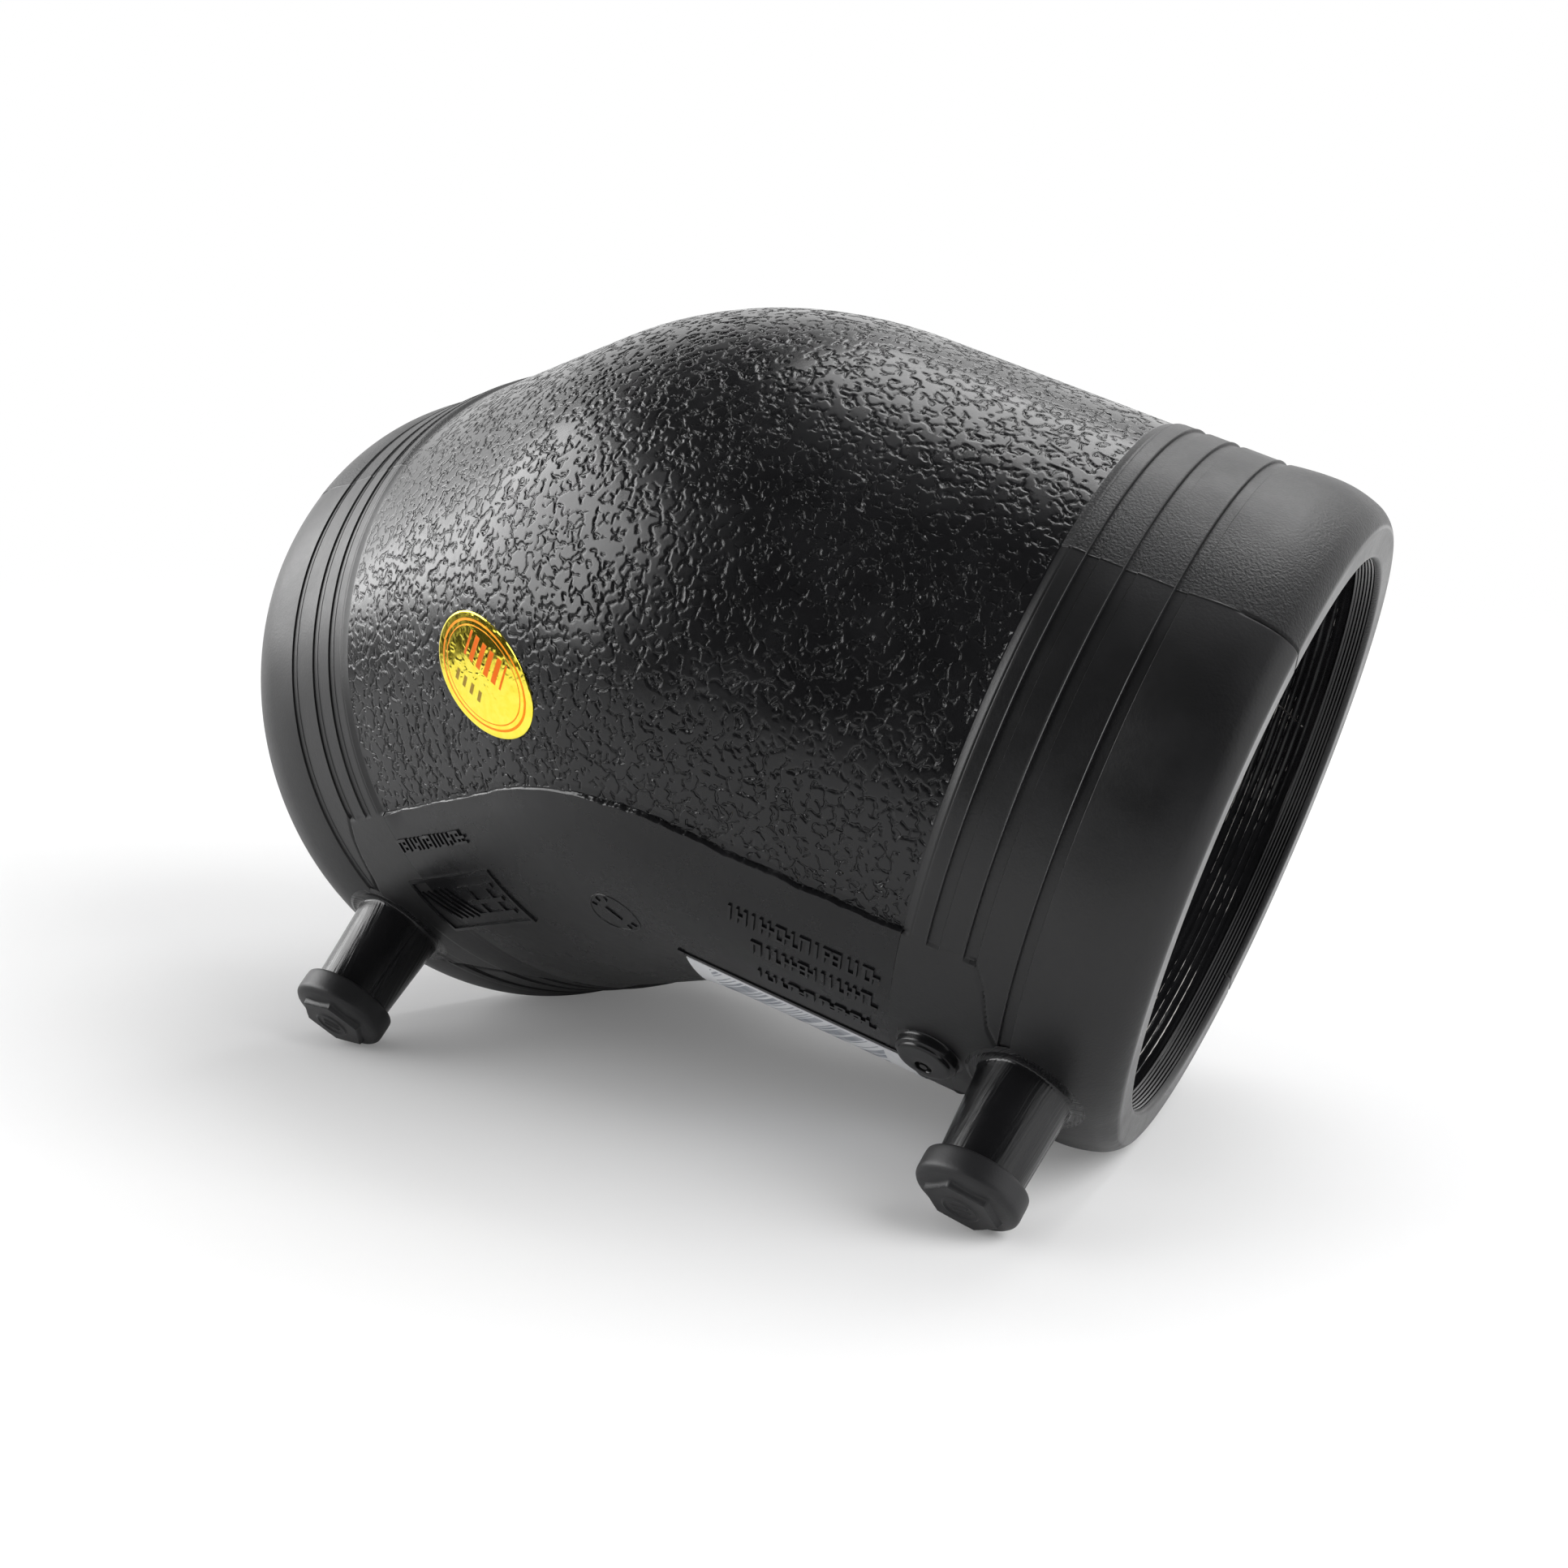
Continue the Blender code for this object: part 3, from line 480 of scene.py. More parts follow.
def moulded_black(name, roughness, peel_size, peel_height, tone=(0.006, 0.006, 0.0066),
                  is_grained=False, has_finish=False, is_drawn=False, specular=0.36):
    """Black polyethylene as it leaves the mould, with its orange peel and handling marks."""
    material, tree, shader, place = new_material(name)
    shader.inputs["Specular IOR Level"].default_value = specular
    rubbed = ramp(tree, noise(tree, place, 14.0 * MM, 4.0), 0.35, 0.7)
    lighter = tuple(RUBBED_GAIN * value for value in tone)
    feed(tree, shader, Base_Color=mixed_colour(tree, rubbed, tone, lighter))
    scuffs = noise(tree, place, 1.1 * MM, 3.0)
    finish = calc(tree, "MULTIPLY_ADD", rubbed, RUBBED_DULLS, roughness - 0.5 * RUBBED_DULLS)
    finish = calc(tree, "SUBTRACT", finish, 0.5 * SCUFFS_DULL)
    finish = calc(tree, "MULTIPLY_ADD", scuffs, SCUFFS_DULL, finish)
    peel = noise(tree, place, peel_size, 2.0)
    if has_finish:
        peel = calc(tree, "MULTIPLY", peel, stored(tree, "peel"))
        finish = calc(tree, "MULTIPLY_ADD", stored(tree, "sheen"), -0.18, finish)
    normal = add_bump(tree, shader, peel, peel_height)
    if is_drawn:
        drawn = noise(tree, flat_uv(tree), 1.0, 2.0, (1.6, 0.09, 1.0))
        normal = add_bump(tree, shader, drawn, 0.10 * MM, normal)
    if is_grained:
        lines = calc(tree, "MULTIPLY", grain_lines(tree, place), stored(tree, "grain"))
        deep = calc(tree, "SUBTRACT", 1.0, lines)
        add_bump(tree, shader, deep, 0.9 * GRAIN_DEPTH, normal)
    feed(tree, shader, Roughness=finish)
    return material


def wire_metal():
    """Bright drawn wire, here and there still under its skin of plastic."""
    material, tree, shader, place = new_material("bright_resistance_wire")
    skin = noise(tree, place, 9.0 * MM, 2.0)
    covered = ramp(tree, skin, 0.46, 0.53)
    feed(tree, shader, Base_Color=mixed_colour(tree, covered, (0.46, 0.44, 0.42), (0.012, 0.012, 0.013)))
    feed(tree, shader, Metallic=calc(tree, "SUBTRACT", 1.0, covered))
    drawn = noise(tree, place, 0.3 * MM, 2.0)
    feed(tree, shader, Roughness=calc(tree, "MULTIPLY_ADD", drawn, 0.18, 0.2))
    return material


def terminal_brass():
    """Turned brass with some tarnish."""
    material, tree, shader, place = new_material("turned_terminal_brass")
    shader.inputs["Metallic"].default_value = 1.0
    tarnish = noise(tree, place, 2.2 * MM, 4.0)
    spots = ramp(tree, tarnish, 0.4, 0.7)
    feed(tree, shader, Base_Color=mixed_colour(tree, spots, (0.76, 0.58, 0.28), (0.52, 0.36, 0.17)))
    feed(tree, shader, Roughness=calc(tree, "MULTIPLY_ADD", spots, 0.2, 0.22))
    turning = noise(tree, place, 0.25 * MM, 1.0, (0.2, 0.2, 3.0))
    add_bump(tree, shader, turning, 0.01 * MM)
    return material


def flat_coordinates(tree):
    """Millimetres across and up a sticker, from its own UV map."""
    split = add_node(tree, "ShaderNodeSeparateXYZ", {0: flat_uv(tree)})
    return split.outputs[0], split.outputs[1]


def printed_cells(tree, value, per_mm):
    """Value counted in cells, and a chance from 0 to 1 that is the same all over a cell."""
    scaled = calc(tree, "MULTIPLY", value, per_mm)
    cell = calc(tree, "FLOOR", scaled)
    chance = add_node(tree, "ShaderNodeTexWhiteNoise", {"W": cell}, noise_dimensions="1D").outputs["Value"]
    return scaled, chance


def inside(tree, value, low, high, soft):
    """1 between two values and 0 outside them."""
    rise = ramp(tree, value, low - soft, low + soft)
    fall = ramp(tree, value, high - soft, high + soft, 1.0, 0.0)
    return calc(tree, "MULTIPLY", rise, fall)


def oblong(tree, across, up, width, height):
    """1 inside an upright oblong of a sticker, whose sides are given as two pairs of values."""
    tall = inside(tree, up, *height, 0.1)
    return calc(tree, "MULTIPLY", tall, inside(tree, across, *width, 0.1))


def seal_foil():
    """Gold foil with a plain printed border and rows of bars."""
    material, tree, shader, place = new_material("printed_gold_foil")
    across, up = flat_coordinates(tree)
    shader.inputs["Metallic"].default_value = 1.0
    rounder = calc(tree, "MULTIPLY", up, SEAL_HALF_LENGTH / SEAL_HALF_WIDTH)
    squares = calc(tree, "ADD", calc(tree, "POWER", across, 2.0), calc(tree, "POWER", rounder, 2.0))
    ring = calc(tree, "SQRT", squares)
    outer_line = inside(tree, ring, 11.0, 11.5, 0.05)
    inner_line = inside(tree, ring, 10.0, 10.25, 0.05)
    borders = calc(tree, "MAXIMUM", outer_line, inner_line)
    scaled, chance = printed_cells(tree, across, SEAL_CELLS)
    in_cell = calc(tree, "FRACT", scaled)
    wide_bar = inside(tree, in_cell, 0.18, 0.74, 0.05)
    thin_bar = inside(tree, in_cell, 0.30, 0.70, 0.05)
    red_print = calc(tree, "MULTIPLY", wide_bar, oblong(tree, across, up, (-5.4, 5.4), (-4.8, -0.6)))
    low_bars = calc(tree, "MULTIPLY", thin_bar, oblong(tree, across, up, (-7.0, 7.0), (2.2, 4.0)))
    brown_print = calc(tree, "MULTIPLY", low_bars, calc(tree, "GREATER_THAN", chance, 0.08))
    fleck = noise(tree, place, 1.4 * MM, 3.0)
    gold = mixed_colour(tree, ramp(tree, fleck, 0.3, 0.75), (1.0, 0.86, 0.10), (0.98, 0.80, 0.06))
    gold = mixed_colour(tree, borders, gold, (0.90, 0.26, 0.01))
    gold = mixed_colour(tree, red_print, gold, (0.85, 0.16, 0.01))
    gold = mixed_colour(tree, brown_print, gold, (0.34, 0.22, 0.03))
    printed = calc(tree, "MAXIMUM", borders, calc(tree, "MAXIMUM", red_print, brown_print))
    feed(tree, shader, Base_Color=gold)
    feed(tree, shader, Roughness=calc(tree, "MULTIPLY_ADD", printed, 0.2, 0.12))
    creases = noise(tree, place, 3.0 * MM, 3.0)
    add_bump(tree, shader, creases, 0.05 * MM)
    return material


def label_film():
    """White film with a band of slanted grey-blue bars."""
    material, tree, shader, place = new_material("printed_white_film")
    across, up = flat_coordinates(tree)
    slanted = calc(tree, "MULTIPLY_ADD", up, 0.55, across)
    _, chance = printed_cells(tree, slanted, LABEL_CELLS)
    bars = calc(tree, "GREATER_THAN", chance, 0.42)
    ink = calc(tree, "MULTIPLY", bars, oblong(tree, across, up, (-15.5, 14.5), (-10.2, 9.6)))
    fading = noise(tree, place, 3.0 * MM, 3.0)
    ink = calc(tree, "MULTIPLY", ink, ramp(tree, fading, 0.2, 0.7, 0.55, 0.95))
    soiled = noise(tree, place, 9.0 * MM, 4.0)
    white = mixed_colour(tree, ramp(tree, soiled, 0.4, 0.75), (0.74, 0.75, 0.77), (0.64, 0.65, 0.68))
    feed(tree, shader, Base_Color=mixed_colour(tree, ink, white, (0.20, 0.22, 0.26)))
    feed(tree, shader, Roughness=calc(tree, "MULTIPLY_ADD", fading, 0.15, 0.38))
    add_bump(tree, shader, noise(tree, place, 2.5 * MM, 2.0), 0.06 * MM)
    return material


grained = moulded_black("leather_grained_polyethylene", 0.27, 0.9 * MM, 0.010 * MM, is_grained=True)
satin = moulded_black("satin_band_polyethylene", 0.50, 0.42 * MM, 0.11 * MM, has_finish=True, specular=0.42)
glossy = moulded_black("smooth_panel_polyethylene", 0.25, 3.0 * MM, 0.03 * MM)
panel_black = moulded_black("panel_and_grain_polyethylene", 0.27, 3.0 * MM, 0.03 * MM, is_grained=True,
                            specular=0.30)
stem_black = moulded_black("drawn_shroud_polyethylene", 0.22, 2.0 * MM, 0.02 * MM, is_drawn=True)
bore_black = moulded_black("turned_bore_polyethylene", 0.24, 1.2 * MM, 0.03 * MM)
cap_black = moulded_black("matt_cap_plastic", 0.46, 0.35 * MM, 0.02 * MM, tone=(0.012, 0.012, 0.013))
wire = wire_metal()


# Outside of the body


def along_panel_border(station):
    """Angles of the panel's upper and lower edge at a station."""
    edges = []
    for border, middle in ((PANEL_BORDER, PANEL_TOP), (FOOT_BORDER, PANEL_FOOT)):
        stations = [point[0] * MM for point in border]
        angles = [math.radians(point[1]) for point in border]
        edges.append(np.interp(station, stations, angles, left=middle, right=BORDER_MEET))
    return edges


def panel_inset(station, angle):
    """Distance inside the panel's edge, negative outside it."""
    top, foot = along_panel_border(np.abs(station))
    jag = 0.1 * MM * waver(station, 5, 0.7 * MM)
    return np.minimum((angle - top) * BAND_RADIUS + jag, (foot - angle) * BAND_RADIUS + jag)


def lip_groove(distance, inset, roughness):
    """Groove that runs along the panel's edge, clean where roughness is 0 and torn where it is 1."""
    torn = 0.2 + 0.8 * roughness
    depth = LIP_DEPTH * (0.35 + 0.45 * roughness + 0.45 * torn * waver(distance, 11, 0.9 * MM))
    width = 0.2 * MM * (0.7 + 0.4 * roughness + 0.35 * torn * waver(distance, 12, 0.6 * MM))
    return depth * np.exp(-((inset + 0.12 * MM) / width) ** 2)


def groove_depth(station):
    """Witness grooves: a sharp step at the inner edge and a floor that rises to the outer edge."""
    depth = np.zeros_like(station)
    for start, end in GROOVES:
        share = np.clip((station - start) / (end - start), 0.0, 1.0)
        floor = GROOVE_DEPTH + (GROOVE_OUTER - GROOVE_DEPTH) * share
        open_part = ease(start, start + GROOVE_STEP, station)
        open_part = open_part * ease(end + 0.04 * MM, end - 0.04 * MM, station)
        burr = BURR_HEIGHT * np.exp(-((station - start + 0.07 * MM) / BURR_WIDTH) ** 2)
        depth += floor * open_part - burr
    return depth + 0.09 * MM * np.exp(-((station - GRAIN_CREASE) / (0.12 * MM)) ** 2)


def crown_height(station):
    """How far the band's crown stands over its level outside the last groove."""
    start = GROOVES[-1][1]
    rise = np.clip((station - start) / (CROWN_TOP - start), 0.0, 1.0)
    fall = np.clip((station - CROWN_TOP) / (CROWN_END - CROWN_TOP), 0.0, None)
    return CROWN_RISE * (1.0 - (1.0 - rise) ** 2) - (CROWN_RISE + 0.7 * MM) * fall ** 2


def band_radius(station, angle):
    """Radius of an end band up to the start of the nose."""
    inset = panel_inset(station, angle)
    on_panel = ease(-0.15 * MM, 0.15 * MM, inset)
    rise = ease(BAND_START, BAND_LEVEL, station)
    level = BARREL_RADIUS + (BAND_RADIUS - BARREL_RADIUS) * np.maximum(rise, on_panel)
    clear_from, clear_at, clear_to, clear_end = SHROUD_CLEAR
    near_shroud = ease(clear_from, clear_at, angle) * ease(clear_end, clear_to, angle)
    smooth_here = np.maximum(on_panel, near_shroud)
    radius = level + crown_height(station) - groove_depth(station) * (1.0 - smooth_here)
    dash = ease(50.2 * MM, 50.6 * MM, station) * ease(55.2 * MM, 54.6 * MM, station)
    early = ease(47.6 * MM, 46.8 * MM, station)
    edge = lip_groove(station, inset, 1.0)
    border = BORDER_DEPTH * np.exp(-((inset + 0.2 * MM) / BORDER_WIDTH) ** 2)
    border = border * ease(55.5 * MM, 57.8 * MM, station) * ease(68.0 * MM, 66.0 * MM, station)
    return radius - edge * np.maximum(early, 0.4 * dash) - border


def band_angles():
    """Angles round a band, closer together over the panel and at the two parting lines."""
    panel = np.arange(60.0, 124.0, 0.35)
    plain = np.arange(124.0, 420.0, 1.0)
    seams = np.concatenate([middle + np.arange(-0.8, 0.85, 0.1) for middle in (180.0, 360.0)])
    return np.radians(np.unique(np.round(np.concatenate((panel, plain, seams)), 3)))


def from_seam(angle):
    """Signed distance round the band from the nearer parting line, below the outer one positive."""
    wrapped = np.where(angle > math.pi, angle - 2.0 * math.pi, angle)
    inner = np.where(np.abs(wrapped) > 0.5 * math.pi, math.pi - np.abs(wrapped), np.abs(wrapped))
    return inner * np.sign(wrapped) * BAND_RADIUS


def band_stations():
    """Stations along a band, closer together at the grooves' edges."""
    plain = [np.arange(BAND_START, 57.0 * MM, 0.5 * MM), np.arange(57.0 * MM, 67.0 * MM, 0.25 * MM),
             np.arange(67.0 * MM, CROWN_END, 0.6 * MM), GRAIN_CREASE + np.arange(-2, 3) * 0.1 * MM]
    inner = [start + np.array(GROOVE_INNER_STEPS) * MM for start, _ in GROOVES]
    outer = [end + np.array(GROOVE_OUTER_STEPS) * MM for _, end in GROOVES]
    return np.sort(np.concatenate(plain + inner + outer))


def end_profile():
    """Stations and radii of the nose, the face with its faint flash, and the mouth's edge."""
    nose = bezier(NOSE_CURVE, 16)
    radii = np.linspace(nose[-1, 1], MOUTH_CURVE[0][1] * MM, FACE_ROWS)
    face = np.stack((np.full(FACE_ROWS, nose[-1, 0]), radii), axis=-1)
    ridge = np.exp(-((radii - FLASH_RADIUS) / (0.2 * MM)) ** 2)
    face[:, 0] += 0.02 * MM * ridge - 0.02 * MM * ease(FLASH_RADIUS + 0.3 * MM, FLASH_RADIUS, radii)
    mouth = bezier(MOUTH_CURVE, 7)
    return np.concatenate((nose[1:], face[1:], mouth[1:]))


def end_band(side):
    """One smooth end: three witness grooves, the crowned band, the nose, the face and the mouth."""
    angles = band_angles()
    station, angle = np.meshgrid(band_stations(), angles, indexing="ij")
    radius = band_radius(station, angle)
    more_station, more_radius = turned(end_profile(), angles)
    tuck_station = np.full((1, len(angles)), BAND_START - 0.1 * MM)
    station = np.concatenate((tuck_station, station, more_station))
    radius = np.concatenate((radius[:1] - 0.3 * MM, radius, more_radius))
    seam = from_seam(np.broadcast_to(angles, station.shape))
    on_wall = ease(50.4 * MM, 52.2 * MM, radius)
    split = ease(CROWN_TOP, CROWN_TOP + 3.0 * MM, station)
    flash = 0.05 * MM * (1.0 + 0.5 * waver(station, 31, 0.8 * MM)) * (1.0 - split)
    crack = 0.45 * MM * np.exp(-(seam / (0.2 * MM)) ** 2) * split
    step = 0.05 * MM * ease(0.0, 0.15 * MM, seam) * ease(20.0 * MM, 6.0 * MM, seam)
    radius = radius + (flash * np.exp(-(seam / (0.11 * MM)) ** 2) - crack - step) * on_wall
    station = station - crack * (1.0 - on_wall)
    nicks = np.exp(-((radius - RIM_RADIUS) / (0.5 * MM)) ** 2) * (station > CROWN_END)
    radius = radius + 0.06 * MM * nicks * waver(angles * BAND_RADIUS, 41, 1.4 * MM)
    name = side_name("end_band", side)
    points = to_row(socket_point(side, station, radius, angles))
    mesh = grid_mesh(name, points, wraps=True, flip=side > 0)
    on_face = ease(81.9 * MM, 82.15 * MM, station)
    lower = ease(-0.05 * MM, 0.1 * MM, seam)
    rough = np.maximum(ease(-24.0 * MM, -6.0 * MM, seam), ease(73.0 * MM, 78.0 * MM, station))
    store(mesh, "peel", (0.4 + 0.6 * rough) * (1.0 - 0.8 * np.maximum(lower, on_face)))
    store(mesh, "sheen", np.maximum(0.35 * lower, on_face))
    body_piece(name, mesh, satin)


def start_tree(name, inputs):
    """New Geometry Nodes tree, what its inputs give, and each input's identifier by name."""
    tree = bpy.data.node_groups.new(name, "GeometryNodeTree")
    keys = {}
    for label, kind in inputs:
        socket = tree.interface.new_socket(label, in_out="INPUT", socket_type="NodeSocket" + kind)
        keys[label] = socket.identifier
    tree.interface.new_socket("Geometry", in_out="OUTPUT", socket_type="NodeSocketGeometry")
    return tree, tree.nodes.new("NodeGroupInput").outputs, keys


def finish_tree(tree, geometry, material):
    """Instances made real, the material set, and the result led to the tree's output."""
    whole = add_node(tree, "GeometryNodeRealizeInstances", {0: geometry}).outputs[0]
    dressed = add_node(tree, "GeometryNodeSetMaterial", {"Geometry": whole, "Material": material})
    add_node(tree, "NodeGroupOutput", {0: dressed.outputs[0]})


def grain_tree():
    """Geometry Nodes that press the grain's grooves into a surface where its attribute says."""
    tree, given, keys = start_tree("press_leather_grain", (
        ("Geometry", "Geometry"), ("Groove Depth", "Float"), ("Plateau Swell", "Float"),
        ("Material", "Material")))
    place = tree.nodes.new("GeometryNodeInputPosition").outputs[0]
    normal = tree.nodes.new("GeometryNodeInputNormal").outputs[0]
    where = add_node(tree, "GeometryNodeInputNamedAttribute", {"Name": "grain"}, data_type="FLOAT")
    lines = grain_lines(tree, place)
    waves = calc(tree, "SUBTRACT", noise(tree, place, 2.2 * MM, 1.0), 0.5)
    rise = calc(tree, "MULTIPLY", waves, given["Plateau Swell"])
    drop = calc(tree, "MULTIPLY", lines, given["Groove Depth"])
    amount = calc(tree, "MULTIPLY", calc(tree, "SUBTRACT", rise, drop), where.outputs[0])
    offset = vector_calc(tree, "SCALE", normal, amount)
    moved = add_node(tree, "GeometryNodeSetPosition", {"Geometry": given["Geometry"], "Offset": offset})
    finish_tree(tree, moved.outputs[0], given["Material"])
    return tree, keys


def run_tree(mesh, tree, keys, settings):
    """The plain mesh that a Geometry Nodes tree makes of a mesh, with its inputs set by name."""
    carrier = new_object(mesh.name + "_carrier", mesh)
    modifier = carrier.modifiers.new("nodes", "NODES")
    modifier.node_group = tree
    for name, value in settings.items():
        modifier[keys[name]] = value
    depsgraph = bpy.context.evaluated_depsgraph_get()
    result = bpy.data.meshes.new_from_object(carrier.evaluated_get(depsgraph))
    carrier.modifiers.remove(modifier)
    bpy.data.objects.remove(carrier)
    return result


GRAIN_TREE, GRAIN_KEYS = grain_tree()


def pressed_mesh(name, mesh, material, depth, swell):
    """Mesh with the grain pressed into it."""
    result = run_tree(mesh, GRAIN_TREE, GRAIN_KEYS, {
        "Groove Depth": depth, "Plateau Swell": swell, "Material": material})
    result.name = name
    return result


def grained_piece(name, mesh, material):
    """A piece of the moulding with the barrel's grain in it."""
    body_piece(name, pressed_mesh(name, mesh, material, GRAIN_DEPTH, PLATEAU_SWELL), material)


def tuck_edges(radius):
    """Lowers the first and last column, which run under the neighbouring pieces."""
    radius[:, 0] -= TUCK_DEPTH
    radius[:, -1] -= TUCK_DEPTH


def grained_barrel(name, start, end, columns, rows):
    """One strip of the grained barrel between two angles, in a left and a right half."""
    angles = tucked(np.radians(np.linspace(start, end, columns)), TUCK_ANGLE)
    for half, first, last in (("_left", -1.0, 0.0), ("_right", 0.0, 1.0)):
        share, angle = np.meshgrid(np.linspace(first, last, rows), angles, indexing="ij")
        length = line_distance(BARREL_END, BARREL_RADIUS, angle)
        radius = np.full_like(angle, BARREL_RADIUS)
        tuck_edges(radius)
        mesh = grid_mesh(name + half, to_row(shell_point(share * length, radius, angle)))
        to_end = (1.0 - np.abs(share)) * length
        shallow = 1.0 - 0.5 * ease(18.0 * MM, 3.0 * MM, to_end) * (first < 0.0)
        store(mesh, "grain", ease(*GRAIN_FADE, to_end) * shallow)
        grained_piece(name + half, mesh, grained)


def panel_angles():
    """Angles across the panel, closer together at its upper lip."""
    lip = math.radians(1.6)
    top = np.linspace(PANEL_TOP - lip, PANEL_TOP + 0.5 * lip, 20)
    rest = np.linspace(PANEL_TOP + 0.5 * lip, PANEL_FOOT + lip, 165)
    return tucked(np.concatenate((top, rest[1:])), TUCK_ANGLE)


def information_panel():
    """Smooth panel between the grained barrel's edges, with its torn lip."""
    share, angle = np.meshgrid(np.linspace(-1.0, 1.0, 520), panel_angles(), indexing="ij")
    length = line_distance(BARREL_END, BARREL_RADIUS, angle)
    distance = share * length
    torn = ease(-5.0 * MM, 7.0 * MM, distance)
    foot = along_panel_border(np.abs(distance))[1]
    inset = np.minimum((angle - PANEL_TOP) * BAND_RADIUS, (foot - angle) * BAND_RADIUS)
    inset = inset + (0.02 + 0.13 * torn) * MM * waver(distance, 5, 0.8 * MM)
    inset = inset + 0.25 * MM * waver(distance, 8, 6.0 * MM)
    to_end = (1.0 - np.abs(share)) * length
    flush = 0.65 * (1.0 - torn) * ease(0.0, 6.0 * MM, to_end) * ease(4.0 * MM, 0.0, inset)
    level = ease(-0.12 * MM, 0.22 * MM, inset) * (1.0 - flush)
    radius = BARREL_RADIUS + (BAND_RADIUS - BARREL_RADIUS) * level
    radius = radius - lip_groove(distance, inset, torn)
    tuck_edges(radius)
    mesh = grid_mesh("information_panel", to_row(shell_point(distance, radius, angle)))
    grain = 1.0 - ease(-0.7 * MM, -0.3 * MM, inset)
    store(mesh, "grain", grain * ease(*GRAIN_FADE, to_end))
    grained_piece("information_panel", mesh, panel_black)


# Inside of the body


def bore_profile():
    """Stations and radii from the mouth to the pipe stop."""
    depth = MM * np.concatenate((
        np.arange(0.85, 4.4, 0.055), np.arange(4.4, 26.0, 0.2), np.arange(26.0, 51.9, 0.4)))
    ridge_share = (depth - 0.9 * MM) / RIDGE_PITCH
    ridges = RIDGE_HEIGHT * np.abs(np.sin(math.pi * ridge_share)) * ease(3.5 * MM, 3.45 * MM, depth)
    bead = 0.18 * MM * np.exp(-((depth - 4.0 * MM) / (0.18 * MM)) ** 2)
    return np.stack((SOCKET_REACH - depth, BORE_RADIUS + ridges - bead), axis=-1)


def stop_profile():
    """Stations and radii of the pipe stop's step."""
    inner = FLOW_RADIUS + 0.05 * MM
    return np.array([(STOP_STATION + 4.2 * MM, BORE_RADIUS), (STOP_STATION + 0.3 * MM, BORE_RADIUS),
                     (STOP_STATION, 45.0 * MM), (STOP_STATION, 39.5 * MM),
                     (STOP_STATION - 0.4 * MM, inner), (STOP_STATION - 1.0 * MM, inner)])


def wire_skin(station, angle):
    """How far the plastic is drawn over the wound wire, or lies back and leaves it bare."""
    low, high = COIL_STATIONS
    pitch = (high - low) / COIL_TURNS
    turn = (station - low) / pitch - angle / (2.0 * math.pi)
    in_zone = ease(high + COIL_FADE, high - COIL_FADE, station)
    in_zone = in_zone * ease(low - COIL_FADE, low + COIL_FADE, station)
    off_wire = np.abs(turn - np.round(turn)) * pitch
    weld = np.exp(-(off_wire / (0.3 * MM)) ** 2)
    skin = waver(angle * 20.0 * MM + station * 3.0, 3, 3.5 * MM)
    bare = 0.5 + 0.5 * np.cos(angle - BARE_WIRE_WAY)
    return in_zone * MM * (0.16 - 0.09 * weld + 0.04 * skin - 0.14 * (1.0 - bare))


def bore(side):
    """Socket's inside: fine ridges at the mouth, a bead, then plastic drawn over the wire."""
    angles = np.radians(np.arange(0.0, 360.0, 2.0))
    station, radius = turned(bore_profile(), angles)
    radius = radius + wire_skin(station, np.broadcast_to(angles, station.shape))
    stop_station, stop_radius = turned(stop_profile(), angles)
    station = np.concatenate((station, stop_station))
    radius = np.concatenate((radius, stop_radius))
    name = side_name("socket_bore", side)
    points = to_row(socket_point(side, station, radius, angles))
    body_piece(name, grid_mesh(name, points, wraps=True, flip=side > 0), bore_black)


def flow_passage():
    """Narrower passage through the bend, between the two pipe stops."""
    angles = np.radians(np.arange(0.0, 360.0, 3.0))
    share, angle = np.meshgrid(np.linspace(-1.0, 1.0, 60), angles, indexing="ij")
    length = line_distance(STOP_STATION, FLOW_RADIUS, angle)
    points = to_row(shell_point(share * length, FLOW_RADIUS, angle))
    body_piece("flow_passage", grid_mesh("flow_passage", points, wraps=True, flip=True), bore_black)


# Terminals


def surface_height(station, offset):
    """Height of the end band beside the terminal axis."""
    radius = BAND_RADIUS + crown_height(station)
    return np.sqrt(radius ** 2 - offset ** 2)


def round_feature(name, side, station, offset, profile, angles, moves=0.0, dents=0.0, lifts=0.0):
    """Turned feature on the terminal side, whose foot follows the curved surface.

    Each profile row holds a radius, a height and how far that height is measured from
    the surface (1) or from the band's level (0).
    """
    radius = profile[:, :1] - dents + 0.0 * angles
    place_station = station + radius * np.cos(angles)
    place_offset = offset + radius * np.sin(angles) + moves
    ground = surface_height(place_station, place_offset)
    share = profile[:, 2:3]
    height = profile[:, 1:2] + lifts + share * ground + (1.0 - share) * BAND_RADIUS
    points = to_row(terminal_point(side, place_station, place_offset, height))
    mesh = grid_mesh(name, points, wraps=True, flip=side > 0)
    store_uv(mesh, radius * angles, height)
    return mesh


